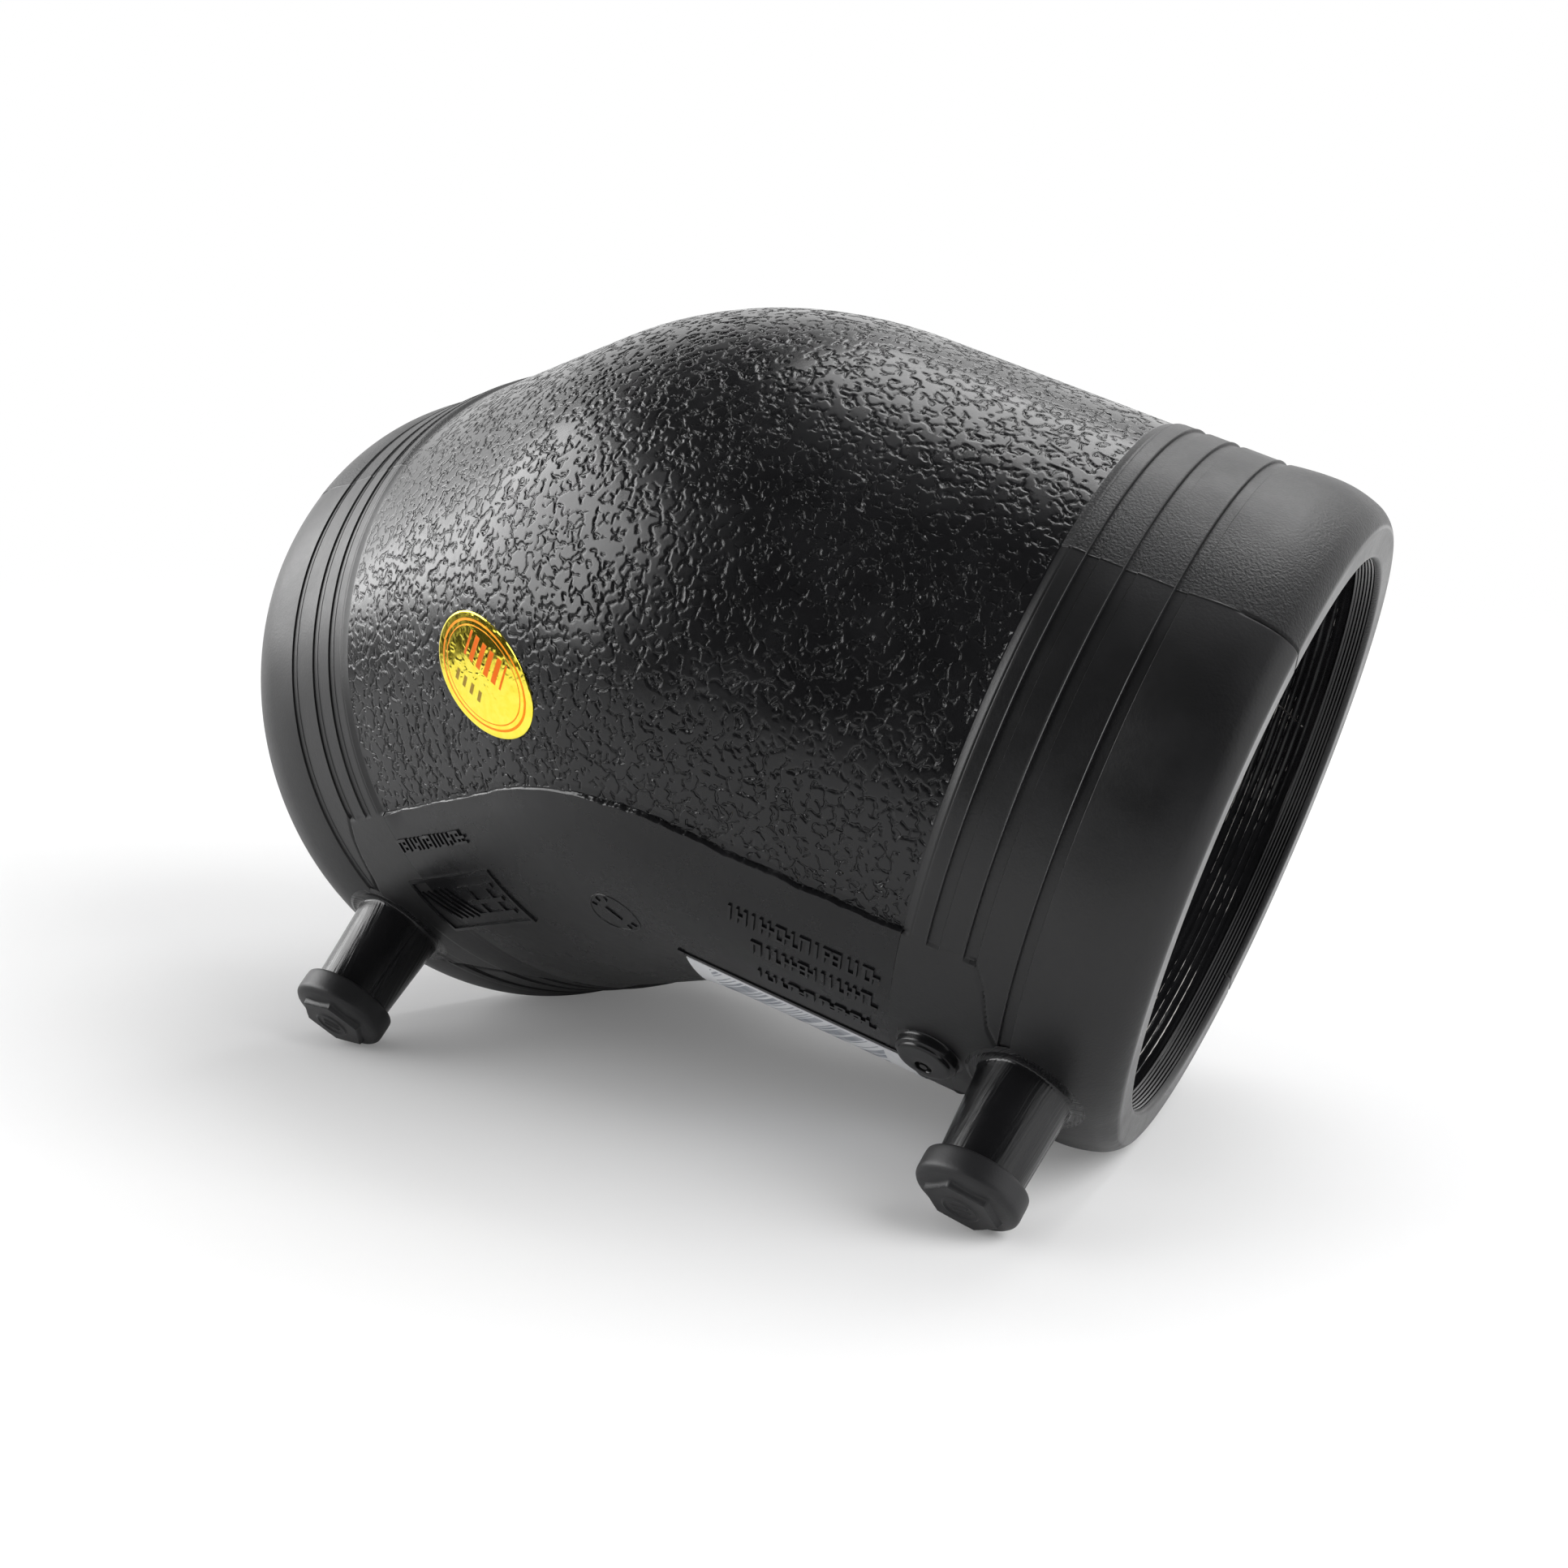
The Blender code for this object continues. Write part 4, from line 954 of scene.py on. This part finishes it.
def shroud(side):
    """Tapered terminal shroud: crisp root, thin collar line on one side, two mould seams."""
    root = [(9.9, -0.10, 1.0), (9.5, 0.0, 1.0), (9.05, 0.0, 1.0), (8.92, 0.0, 1.0), (8.8, 0.0, 1.0),
            (8.68, 0.0, 1.0), (8.2, 0.0, 1.0), (7.85, 0.02, 1.0), (7.66, 0.1, 1.0), (7.55, 0.25, 1.0),
            (7.5, 0.5, 0.95), (7.46, 0.9, 0.7), (7.4, 1.6, 0.3), (7.33, 2.4, 0.0)]
    stem = [(7.2, 4.6, 0.0), (7.0, 8.0, 0.0), (6.78, 12.0, 0.0), (6.58, 15.6, 0.0), (6.5, 17.4, 0.0),
            (6.3, 17.85, 0.0), (5.9, 17.9, 0.0), (4.9, 17.9, 0.0), (4.9, 16.0, 0.0)]
    profile = np.array(root + stem)
    profile[:, :2] *= MM
    fine = np.arange(-4.0, 4.1, 0.8)
    steps = np.concatenate((np.arange(0.0, 360.0, 3.0), fine % 360.0, fine + 180.0))
    angles = np.radians(np.unique(np.round(steps, 2)))
    seam = np.minimum(np.abs(np.sin(angles)), 0.2) * profile[:, :1]
    dents = 0.09 * MM * np.exp(-(seam / (0.12 * MM)) ** 2) * ease(0.1 * MM, 0.4 * MM, profile[:, 1:2])
    away = np.abs(np.angle(np.exp(1j * (angles - COLLAR_WAYS[side]))))
    ring = np.exp(-((profile[:, :1] - 8.86 * MM) / (0.11 * MM)) ** 2)
    lifts = 0.13 * MM * ring * ease(math.radians(75.0), math.radians(45.0), away)
    name = side_name("terminal_shroud", side)
    mesh = round_feature(name, side, TERMINAL_STATION, 0.0, profile, angles, dents=dents, lifts=lifts)
    body_piece(name, mesh, stem_black)


def indicator_boss():
    """Boss of the fusion indicator, with its hole nearer one side."""
    profile = np.array([
        (6.0, -0.06, 1.0), (5.5, 0.0, 1.0), (5.15, 0.02, 1.0), (5.02, 0.15, 1.0), (4.98, 0.5, 0.6),
        (4.95, 0.9, 0.2), (4.93, 1.15, 0.0), (4.86, 1.32, 0.0), (4.7, 1.42, 0.0), (4.5, 1.45, 0.0),
        (4.42, 1.52, 0.0), (4.38, 1.75, 0.0), (4.25, 1.92, 0.0), (4.0, 2.0, 0.0), (3.6, 2.0, 0.0),
        (3.2, 2.0, 0.0), (2.4, 2.0, 0.0), (1.6, 2.0, 0.0), (1.45, 1.98, 0.0), (1.38, 1.9, 0.0),
        (1.36, 1.0, 0.0), (1.36, -0.6, 0.0), (0.02, -0.6, 0.0)])
    moves = np.interp(-profile[:, :1], [-3.2, -1.6], [0.0, -1.6]) * MM
    profile[:, :2] *= MM
    angles = np.linspace(0.0, 2.0 * math.pi, 80, endpoint=False)
    mesh = round_feature("indicator_boss", 1, INDICATOR_STATION, INDICATOR_OFFSET, profile, angles,
                         moves=moves)
    body_piece("indicator_boss", mesh, glossy)


def cap_height(along, aside, radius, way):
    """Crown of a cap: a sloping roof, a raised six-sided pad and a ring with two bars on it."""
    roof = np.interp(radius, [0.0, 5.0 * MM, 7.2 * MM, 7.7 * MM, 7.95 * MM],
                     [74.05 * MM, 73.95 * MM, 73.3 * MM, 73.07 * MM, 72.82 * MM])
    edge = np.full_like(along, -1.0)
    for corner in range(6):
        turn = way + math.radians(30.0 + 60.0 * corner)
        edge = np.maximum(edge, along * math.cos(turn) + aside * math.sin(turn))
    pad = ease(5.4 * MM, 5.1 * MM, edge)
    ring = np.exp(-((radius - 2.7 * MM) / (0.2 * MM)) ** 2)
    level = along * math.sin(way) - aside * math.cos(way)
    upright = along * math.cos(way) + aside * math.sin(way)
    bars = np.exp(-((np.abs(upright) - 0.6 * MM) / (0.2 * MM)) ** 2)
    bars = bars * ease(1.6 * MM, 1.35 * MM, np.abs(level))
    top = 74.70 * MM - 0.02 * radius
    return roof + (top - roof) * pad + 0.24 * MM * np.maximum(ring, bars) * pad


def terminal_cap(side):
    """Soft push-on cap."""
    angles = np.linspace(0.0, 2.0 * math.pi, 132, endpoint=False)
    radii = np.concatenate(([0.001 * MM], np.linspace(0.15, 7.95, 66) * MM))
    radius, angle = np.meshgrid(radii, angles, indexing="ij")
    along, aside = radius * np.cos(angle), radius * np.sin(angle)
    height = cap_height(along, aside, radius, PAD_WAYS[side])
    wall = np.array([(8.08, 72.63), (8.16, 72.37), (8.2, 72.05), (8.2, 71.5), (8.2, 70.0), (8.17, 69.4),
                     (8.12, 69.15), (8.0, 69.02), (7.6, 69.0), (7.0, 69.0), (6.85, 69.05), (6.8, 69.3),
                     (6.8, 72.0), (4.6, 72.2), (4.5, 70.0), (0.001, 70.0)]) * MM
    wall_radius, wall_height = turned(wall, angles)
    radius = np.concatenate((radius, wall_radius))
    height = np.concatenate((height, wall_height))
    along, aside = radius * np.cos(angles), radius * np.sin(angles)
    points = to_row(terminal_point(side, TERMINAL_STATION + along, aside, height))
    name = side_name("soft_cap", side)
    mesh = grid_mesh(name, points, wraps=True, flip=side < 0)
    new_piece(name, mesh, cap_black, "cap_plastic", side_name("terminal_cap", side))


# Marks moulded on the panel


def block(tree, sizes, counts):
    """Box of a size and a number of vertices along each of its three ways."""
    inputs = dict(zip(("Vertices X", "Vertices Y", "Vertices Z"), counts))
    inputs["Size"] = combined(tree, *sizes)
    return add_node(tree, "GeometryNodeMeshCube", inputs).outputs[0]


def marks_tree():
    """Geometry Nodes row of raised bars of uneven width, some of them joined by rungs."""
    tree, given, keys = start_tree("row_of_raised_bars", (
        ("Count", "Int"), ("Pitch", "Float"), ("Bar Width", "Float"), ("Bar Length", "Float"),
        ("Bar Height", "Float"), ("Seed", "Int"), ("Material", "Material")))
    pitch, width, length, height = (
        given[name] for name in ("Pitch", "Bar Width", "Bar Length", "Bar Height"))
    line = add_node(tree, "GeometryNodeMeshLine", {"Count": given["Count"], "Offset": combined(tree, pitch)})
    bar = block(tree, (width, length, height), (3, 7, 3))
    scale = add_node(tree, "FunctionNodeRandomValue",
                     {0: (0.7, 1.0, 1.0), 1: (1.3, 1.0, 1.0), "Seed": given["Seed"]},
                     data_type="FLOAT_VECTOR")
    bars = add_node(tree, "GeometryNodeInstanceOnPoints", {
        "Points": line.outputs[0], "Instance": bar, "Scale": scale.outputs[0]})
    placed = add_node(tree, "GeometryNodeJoinGeometry", {0: bars.outputs[0]})
    rung = block(tree, (pitch, width, height), (4, 3, 3))
    for level in (0.42, 0.0, -0.42):
        shift = combined(tree, calc(tree, "MULTIPLY", pitch, 0.5), calc(tree, "MULTIPLY", length, level))
        moved = add_node(tree, "GeometryNodeTransform", {"Geometry": rung, "Translation": shift})
        seed = calc(tree, "ADD", given["Seed"], 10.0 + 20.0 * level)
        chance = add_node(tree, "FunctionNodeRandomValue", {"Seed": seed, "Probability": 0.3},
                          data_type="BOOLEAN")
        rungs = add_node(tree, "GeometryNodeInstanceOnPoints", {
            "Points": line.outputs[0], "Instance": moved.outputs[0], "Selection": chance.outputs["Value"]})
        tree.links.new(rungs.outputs[0], placed.inputs[0])
    finish_tree(tree, placed.outputs[0], given["Material"])
    return tree, keys


MARKS_TREE, MARKS_KEYS = marks_tree()


def lay_on_panel(mesh, station, angle):
    """Wrap a flat mesh round the panel: its X runs along the socket and its Y round it."""
    flat = flat_vertices(mesh)
    side = 1.0 if station > 0.0 else -1.0
    radius = BAND_RADIUS + flat[:, 2]
    around = angle + flat[:, 1] / BAND_RADIUS
    move_vertices(mesh, socket_point(side, abs(station) + side * flat[:, 0], radius, around))
    shade(mesh)
    return mesh


def row_of_marks(station, end, angle, length, seed):
    """Raised bars along the panel between two stations."""
    mesh = run_tree(bpy.data.meshes.new("marks"), MARKS_TREE, MARKS_KEYS, {
        "Count": int((end - station) / MARK_PITCH), "Pitch": MARK_PITCH, "Bar Width": MARK_WIDTH,
        "Bar Length": length, "Bar Height": MARK_HEIGHT, "Seed": seed, "Material": glossy})
    return lay_on_panel(mesh, station, angle)


def join_meshes(name, meshes):
    """One mesh made of several, which are then removed."""
    bm = bmesh.new()
    for mesh in meshes:
        bm.from_mesh(mesh)
        bpy.data.meshes.remove(mesh)
    joined = mesh_from(bm, name)
    joined.set_sharp_from_angle(angle=SHARP_EDGE)
    return joined


def flat_frame(outer, inner, height):
    """Raised rectangular frame, as a flat mesh."""
    bm = bmesh.new()
    signs = ((-1, -1), (1, -1), (1, 1), (-1, 1))
    rims = ((outer, MARK_FOOT), (outer, height), (inner, height), (inner, MARK_FOOT))
    loops = []
    for (half_x, half_y), level in rims:
        corners = []
        for (x0, y0), (x1, y1) in zip(signs, signs[1:] + signs[:1]):
            for share in np.linspace(0.0, 1.0, 24, endpoint=False):
                x = half_x * (x0 + (x1 - x0) * share)
                y = half_y * (y0 + (y1 - y0) * share)
                corners.append(bm.verts.new((x, y, level)))
        loops.append(corners)
    for lower, upper in zip(loops, loops[1:]):
        for index in range(len(lower)):
            after = (index + 1) % len(lower)
            bm.faces.new((lower[index], lower[after], upper[after], upper[index]))
    return mesh_from(bm, "frame")


def flat_ring(radius, width, height, sides=72):
    """Raised ring with a rounded top, as a flat mesh."""
    angles = np.linspace(0.0, 2.0 * math.pi, sides, endpoint=False)
    rows = []
    for across, up in ((-0.5, -0.1), (-0.45, 0.6), (-0.2, 1.0), (0.2, 1.0), (0.45, 0.6), (0.5, -0.1)):
        reach = radius + across * width
        level = np.full(sides, up * height)
        rows.append(np.stack((reach * np.cos(angles), reach * np.sin(angles), level), axis=-1))
    return grid_mesh("ring", np.array(rows), wraps=True)


def face_rank(face):
    """Number that puts the faces of a small mesh in the same order each run."""
    rank = 0
    for index in sorted(vert.index for vert in face.verts):
        rank = rank * 100 + index
    return rank


def flat_bar(x, y, length, width, height, turn=0.0):
    """Raised bar, as a flat mesh, turned about its middle."""
    bm = bmesh.new()
    bmesh.ops.create_grid(bm, x_segments=10, y_segments=2, size=0.5)
    bmesh.ops.scale(bm, vec=(length, width, 1.0), verts=bm.verts)
    grown = bmesh.ops.extrude_face_region(bm, geom=bm.faces[:])
    tops = [item for item in grown["geom"] if isinstance(item, bmesh.types.BMVert)]
    bmesh.ops.translate(bm, vec=(0.0, 0.0, height - MARK_FOOT), verts=tops)
    place = Matrix.Translation((x, y, MARK_FOOT)) @ Matrix.Rotation(turn, 4, "Z")
    bmesh.ops.transform(bm, matrix=place, verts=bm.verts)
    bmesh.ops.recalc_face_normals(bm, faces=bm.faces)
    bm.verts.index_update()
    bm.faces.sort(key=face_rank)
    return mesh_from(bm, "bar")


def bare_plate():
    """Plain framed plate with slanted, level and upright bars, as flat meshes."""
    parts = [flat_frame((12.8 * MM, 6.0 * MM), (12.2 * MM, 5.4 * MM), 0.34 * MM)]
    height = 0.3 * MM
    slant, upright = math.radians(58.0), math.radians(90.0)
    for index in range(5):
        parts.append(flat_bar((-9.4 + 1.9 * index) * MM, 0.0, 8.0 * MM, 0.6 * MM, height, slant))
    for index in range(3):
        parts.append(flat_bar(5.2 * MM, (3.0 - 3.0 * index) * MM, 10.5 * MM, 0.9 * MM, height))
    for index in range(2):
        parts.append(flat_bar((2.6 + 5.2 * index) * MM, 0.0, 6.6 * MM, 0.7 * MM, height, upright))
    return parts


def panel_marks():
    """Generic raised marks: rows of bars, a line with a dot, a bare plate and a date dial."""
    parts = [row_of_marks(station * MM, end * MM, math.radians(angle), length * MM, seed)
             for station, end, angle, length, seed in MARK_ROWS]
    line = flat_bar(0.0, 0.0, 37.0 * MM, 0.4 * MM, 0.2 * MM)
    dot = flat_bar(0.0, 0.0, 1.1 * MM, 1.0 * MM, 0.28 * MM)
    parts.append(lay_on_panel(line, 29.2 * MM, LINE_ANGLE))
    parts.append(lay_on_panel(dot, 10.8 * MM, LINE_ANGLE))
    parts += [lay_on_panel(part, PLATE_STATION, PLATE_ANGLE) for part in bare_plate()]
    parts += date_dial()
    mesh = join_meshes("panel_marks", [recalc(part) for part in parts])
    body_piece("panel_marks", mesh, glossy)


def date_dial():
    """Mould's faint date ring with a few ticks and an arrow."""
    parts = [flat_ring(4.5 * MM, 0.35 * MM, 0.12 * MM)]
    for way in (40.0, 70.0, 215.0, 245.0, 275.0):
        turn = math.radians(way)
        x, y = DIAL_TICK_RADIUS * math.cos(turn), DIAL_TICK_RADIUS * math.sin(turn)
        parts.append(flat_bar(x, y, 1.0 * MM, 0.3 * MM, 0.2 * MM, turn))
    parts.append(flat_bar(0.0, 0.0, 3.4 * MM, 0.45 * MM, 0.22 * MM, math.radians(60.0)))
    for part in parts:
        flat = flat_vertices(part)
        around = DIAL_ANGLE + flat[:, 1] / BAND_RADIUS
        move_vertices(part, shell_point(DIAL_DISTANCE + flat[:, 0], BAND_RADIUS + flat[:, 2], around))
    return parts


def recalc(mesh):
    """Mesh with its doubled vertices merged and all its faces turned outwards."""
    bm = bmesh.new()
    bm.from_mesh(mesh)
    bmesh.ops.remove_doubles(bm, verts=bm.verts, dist=1e-7)
    bmesh.ops.recalc_face_normals(bm, faces=bm.faces)
    bm.to_mesh(mesh)
    bm.free()
    mesh.shade_smooth()
    return mesh


# Stickers


def smooth_shoulder():
    """Search tree of the bare barrel round the seal, to lay the seal on."""
    distances = np.linspace(-45.0 * MM, 5.0 * MM, 120)
    angles = np.radians(np.linspace(5.0, 90.0, 150))
    distance, angle = np.meshgrid(distances, angles, indexing="ij")
    mesh = grid_mesh("shoulder", shell_point(distance, BARREL_RADIUS, angle))
    corners = [vert.co for vert in mesh.vertices]
    tree = BVHTree.FromPolygons(corners, [face.vertices for face in mesh.polygons])
    bpy.data.meshes.remove(mesh)
    return tree


def quality_seal():
    """Oval foil drawn down onto the shoulder of the bend."""
    rings = np.concatenate(([0.002], np.linspace(0.03, 1.0, 48), [1.004, 1.004]))
    angles = np.linspace(0.0, 2.0 * math.pi, 220, endpoint=False)
    ring, angle = np.meshgrid(rings, angles, indexing="ij")
    across = SEAL_HALF_LENGTH * ring * np.cos(angle)
    up = SEAL_HALF_WIDTH * ring * np.sin(angle)
    turn = HALF_BEND * SEAL_BEND_SHARE
    outward = Vector((math.sin(turn) * math.cos(SEAL_AROUND), math.cos(turn) * math.cos(SEAL_AROUND),
                      math.sin(SEAL_AROUND)))
    level = Vector((0.0, 0.0, 1.0)).cross(outward).normalized()
    upright = outward.cross(level)
    long_way = level * math.cos(SEAL_TURN) + upright * math.sin(SEAL_TURN)
    short_way = outward.cross(long_way)
    offset = BARREL_RADIUS * math.cos(SEAL_AROUND)
    bend = fillet_radius(offset)
    centre = Vector((bend * math.sin(turn), (offset - bend) / math.cos(HALF_BEND) + bend * math.cos(turn),
                     BARREL_RADIUS * math.sin(SEAL_AROUND)))
    lifts = np.full(len(rings), STICKER_LIFT)
    lifts[-2:] = (0.06 * MM, -0.08 * MM)
    tree = smooth_shoulder()
    points = np.zeros(ring.shape + (3,))
    for row, lift in enumerate(lifts):
        for column in range(len(angles)):
            start = centre + long_way * across[row, column] + short_way * up[row, column] + outward * 0.02
            place, normal, _, _ = tree.ray_cast(start, -outward)
            lean = normal if normal.dot(outward) > 0.0 else -normal
            points[row, column] = place + lean * lift
    mesh = grid_mesh("gold_seal", to_row(points), wraps=True)
    store_uv(mesh, across, up)
    store(mesh, "grain", 1.0 - ease(0.985, 1.0, ring))
    foil = seal_foil()
    result = pressed_mesh("gold_seal", mesh, foil, 0.025 * MM, 0.05 * MM)
    new_piece("gold_seal", result, foil, "gold_foil", "quality_seal")


def barcode_label():
    """Oblong film on the panel, with one corner starting to lift."""
    half_long = 0.5 * (LABEL_SPAN[1] - LABEL_SPAN[0])
    middle = 0.5 * (LABEL_SPAN[1] + LABEL_SPAN[0])
    across = tucked(np.linspace(-half_long, half_long, 110), 0.01 * MM)
    up = tucked(np.linspace(-LABEL_HALF_WIDTH, LABEL_HALF_WIDTH, 60), 0.01 * MM)
    grid_across, grid_up = np.meshgrid(across, up, indexing="ij")
    lift = ease(6.0 * MM, 16.0 * MM, grid_up - grid_across - 8.0 * MM) * 0.25 * MM
    radius = BAND_RADIUS + STICKER_LIFT + lift
    edge = np.ones_like(radius)
    edge[1:-1, 1:-1] = 0.0
    radius = radius - edge * 0.16 * MM
    angle = LABEL_CENTRE + grid_up / BAND_RADIUS
    length = line_distance(middle + grid_across, BAND_RADIUS, angle)
    mesh = grid_mesh("white_label", to_row(shell_point(length, radius, angle)))
    store_uv(mesh, grid_across, grid_up)
    new_piece("white_label", mesh, label_film(), "label_paper", "barcode_label")


# Heating wire


def coil_tree():
    """Geometry Nodes coil: a spiral swept by a round wire."""
    tree, given, keys = start_tree("wound_resistance_wire", (
        ("Turns", "Float"), ("Coil Radius", "Float"), ("Length", "Float"), ("Wire Radius", "Float"),
        ("Material", "Material")))
    spiral = add_node(tree, "GeometryNodeCurveSpiral", {
        "Resolution": 96, "Rotations": given["Turns"], "Start Radius": given["Coil Radius"],
        "End Radius": given["Coil Radius"], "Height": given["Length"]})
    section = add_node(tree, "GeometryNodeCurvePrimitiveCircle", {
        "Resolution": 6, "Radius": given["Wire Radius"]})
    swept = add_node(tree, "GeometryNodeCurveToMesh", {
        "Curve": spiral.outputs[0], "Profile Curve": section.outputs[0], "Fill Caps": True})
    finish_tree(tree, swept.outputs[0], given["Material"])
    return tree, keys


def wire_along(points):
    """Round wire along a list of points."""
    curve = bpy.data.curves.new("lead", "CURVE")
    curve.dimensions = "3D"
    curve.bevel_depth = WIRE_RADIUS
    curve.bevel_resolution = 1
    curve.use_fill_caps = True
    spline = curve.splines.new("POLY")
    spline.points.add(len(points) - 1)
    for point, place in zip(spline.points, points):
        point.co = (*place, 1.0)
    guide = new_object("lead", curve)
    mesh = bpy.data.meshes.new_from_object(guide.evaluated_get(bpy.context.evaluated_depsgraph_get()))
    bpy.data.objects.remove(guide)
    return mesh


def heating_wire():
    """Both coils, the link through the bend and the leads laid across the turns."""
    tree, keys = coil_tree()
    low, high = COIL_STATIONS
    meshes = []
    for side in (-1.0, 1.0):
        mesh = run_tree(bpy.data.meshes.new("coil"), tree, keys, {
            "Turns": float(COIL_TURNS), "Coil Radius": COIL_RADIUS, "Length": high - low,
            "Wire Radius": WIRE_RADIUS, "Material": wire})
        local = flat_vertices(mesh)
        angle = np.arctan2(local[:, 1], local[:, 0])
        radius = np.hypot(local[:, 0], local[:, 1])
        move_vertices(mesh, socket_point(side, low + local[:, 2], radius, angle))
        meshes.append(mesh)
        station = np.linspace(high - 0.5 * MM, low + 8.0 * MM, 60)
        around = LEAD_WAY + (high - station) * 9.0
        meshes.append(wire_along(to_row(socket_point(side, station, COIL_RADIUS - 0.1 * MM, around))))
    quarter = np.full(24, 0.5 * math.pi)
    reach = line_distance(low, COIL_RADIUS, quarter)
    link = shell_point(np.linspace(-1.0, 1.0, 24) * reach, COIL_RADIUS, quarter)
    meshes.append(wire_along(to_row(link)))
    mesh = recalc(join_meshes("heating_wire", meshes))
    new_piece("heating_wire", mesh, wire, "resistance_wire", "heating_coil")


# Build the part


for strip in BARREL_STRIPS:
    grained_barrel(*strip)
information_panel()
for end in (1, -1):
    end_band(end)
    bore(end)
    shroud(end)
    terminal_cap(end)
flow_passage()
indicator_boss()
panel_marks()
quality_seal()
barcode_label()
heating_wire()

# The three pins are the CAD's own solids, with a material of their own
brass = terminal_brass()
for node_name, finish in (("terminal_pin_left", brass), ("terminal_pin_right", brass),
                          ("fusion_indicator_pin", glossy)):
    frame["nodes"][node_name].data.materials.clear()
    frame["nodes"][node_name].data.materials.append(finish)


# Studio


def seen_rays(tree):
    """1 for rays from the camera, and 1 for those and any mirrored or passed through."""
    path = tree.nodes.new("ShaderNodeLightPath")
    camera = path.outputs["Is Camera Ray"]
    bent = calc(tree, "MAXIMUM", path.outputs["Is Glossy Ray"], path.outputs["Is Transmission Ray"])
    return camera, calc(tree, "MAXIMUM", camera, bent)


def floor_material():
    """Pale floor that keeps the shadow near the part and fades to white further out."""
    material, tree, shader, place = new_material("pale_floor")
    tree.nodes.remove(shader)
    tint = mixed_colour(tree, noise(tree, place, 0.35, 2.0), (0.86, 0.86, 0.865), (0.88, 0.88, 0.88))
    lit = add_node(tree, "ShaderNodeBsdfDiffuse", {"Color": tint})
    white = add_node(tree, "ShaderNodeEmission", {"Color": WHITE, "Strength": 1.0})
    camera, seen = seen_rays(tree)
    away = add_node(tree, "ShaderNodeVectorMath", {0: place}, operation="LENGTH").outputs["Value"]
    far = ramp(tree, away, 0.18, FLOOR_RADIUS - 0.05)
    near = calc(tree, "MULTIPLY", calc(tree, "SUBTRACT", 1.0, far), 0.13)
    share = calc(tree, "MULTIPLY_ADD", far, seen, calc(tree, "MULTIPLY", near, camera))
    mix = add_node(tree, "ShaderNodeMixShader", {0: share, 1: lit.outputs[0], 2: white.outputs[0]})
    tree.links.new(mix.outputs[0], tree.nodes["Material Output"].inputs[0])
    return material


def studio_floor():
    """Round table top that the part lies on."""
    bm = bmesh.new()
    bmesh.ops.create_circle(bm, cap_ends=True, segments=96, radius=FLOOR_RADIUS)
    floor = new_object("studio_floor", mesh_from(bm, "studio_floor"))
    floor.data.materials.append(floor_material())


def room_material():
    """Glow that is pale behind the part, up to the backdrop's top, and dim elsewhere."""
    material, tree, shader, place = new_material("studio_room_tone")
    tree.nodes.remove(shader)
    way = vector_calc(tree, "NORMALIZE", place, (0.0, 0.0, 0.0))
    split = add_node(tree, "ShaderNodeSeparateXYZ", {0: way})
    behind = ramp(tree, split.outputs[1], -0.3, 0.15)
    low = ramp(tree, split.outputs[2], 0.45, 0.75, 1.0, 0.0)
    level = calc(tree, "MULTIPLY_ADD", calc(tree, "MULTIPLY", behind, low), 1.45, 0.015)
    glow = add_node(tree, "ShaderNodeEmission", {"Color": WHITE, "Strength": level})
    tree.links.new(glow.outputs[0], tree.nodes["Material Output"].inputs[0])
    return material


def dark_room():
    """Dim studio around the part, seen only in its gloss."""
    bm = bmesh.new()
    bmesh.ops.create_uvsphere(bm, u_segments=64, v_segments=32, radius=ROOM_RADIUS)
    room = new_object("studio_room", mesh_from(bm, "studio_room"))
    room.data.materials.append(room_material())
    room.visible_camera = False
    room.visible_diffuse = False
    room.visible_shadow = False


def white_world():
    """White where it is seen, and about half as bright as light on the part."""
    world = bpy.data.worlds.new("white_studio")
    bpy.context.scene.world = world
    world.use_nodes = True
    tree = world.node_tree
    back = tree.nodes["Background"]
    _, seen = seen_rays(tree)
    strength = calc(tree, "MULTIPLY_ADD", seen, 0.52, 0.48)
    tree.links.new(strength, back.inputs["Strength"])
    back.inputs["Color"].default_value = WHITE


def soft_box(name, azimuth, elevation, distance, size_x, size_y, radiance):
    """Area lamp aimed at the part; its power follows from the brightness of its face."""
    lamp = bpy.data.lights.new(name, "AREA")
    lamp.shape = "RECTANGLE"
    lamp.size = size_x
    lamp.size_y = size_y
    lamp.energy = radiance * math.pi * size_x * size_y
    box = new_object(name, lamp)
    turn, rise = math.radians(azimuth), math.radians(elevation)
    way = Vector((math.sin(turn) * math.cos(rise), -math.cos(turn) * math.cos(rise), math.sin(rise)))
    box.location = Vector(LAMP_AIM) + way * distance
    box.rotation_euler = way.to_track_quat("Z", "Y").to_euler()
    return box


def photo_camera():
    """Camera fitted to the photograph."""
    lens = bpy.data.cameras.new("photo_camera")
    lens.lens = CAMERA_LENS
    lens.sensor_width = SENSOR_WIDTH
    lens.clip_start = 0.01
    camera = new_object("photo_camera", lens)
    camera.location = CAMERA_PLACE
    camera.rotation_euler = [math.radians(angle) for angle in CAMERA_TURN]
    bpy.context.scene.camera = camera


studio_floor()
dark_room()
white_world()
soft_box("left_soft_box", -62.0, 17.0, 1.30, 1.40, 1.05, 2.0).visible_glossy = False
soft_box("left_sheen_box", -62.0, 24.0, 1.25, 1.45, 0.88, 7.0).visible_diffuse = False
soft_box("back_top_soft_box", 178.0, 60.0, 1.45, 1.05, 0.9, 3.4).visible_glossy = False
soft_box("back_top_sheen_box", 178.0, 60.0, 1.4, 1.0, 0.85, 5.8).visible_diffuse = False
soft_box("right_fill_box", 95.0, 35.0, 1.5, 1.2, 1.2, 4.0).visible_glossy = False
photo_camera()
bpy.context.scene.view_settings.view_transform = "Standard"
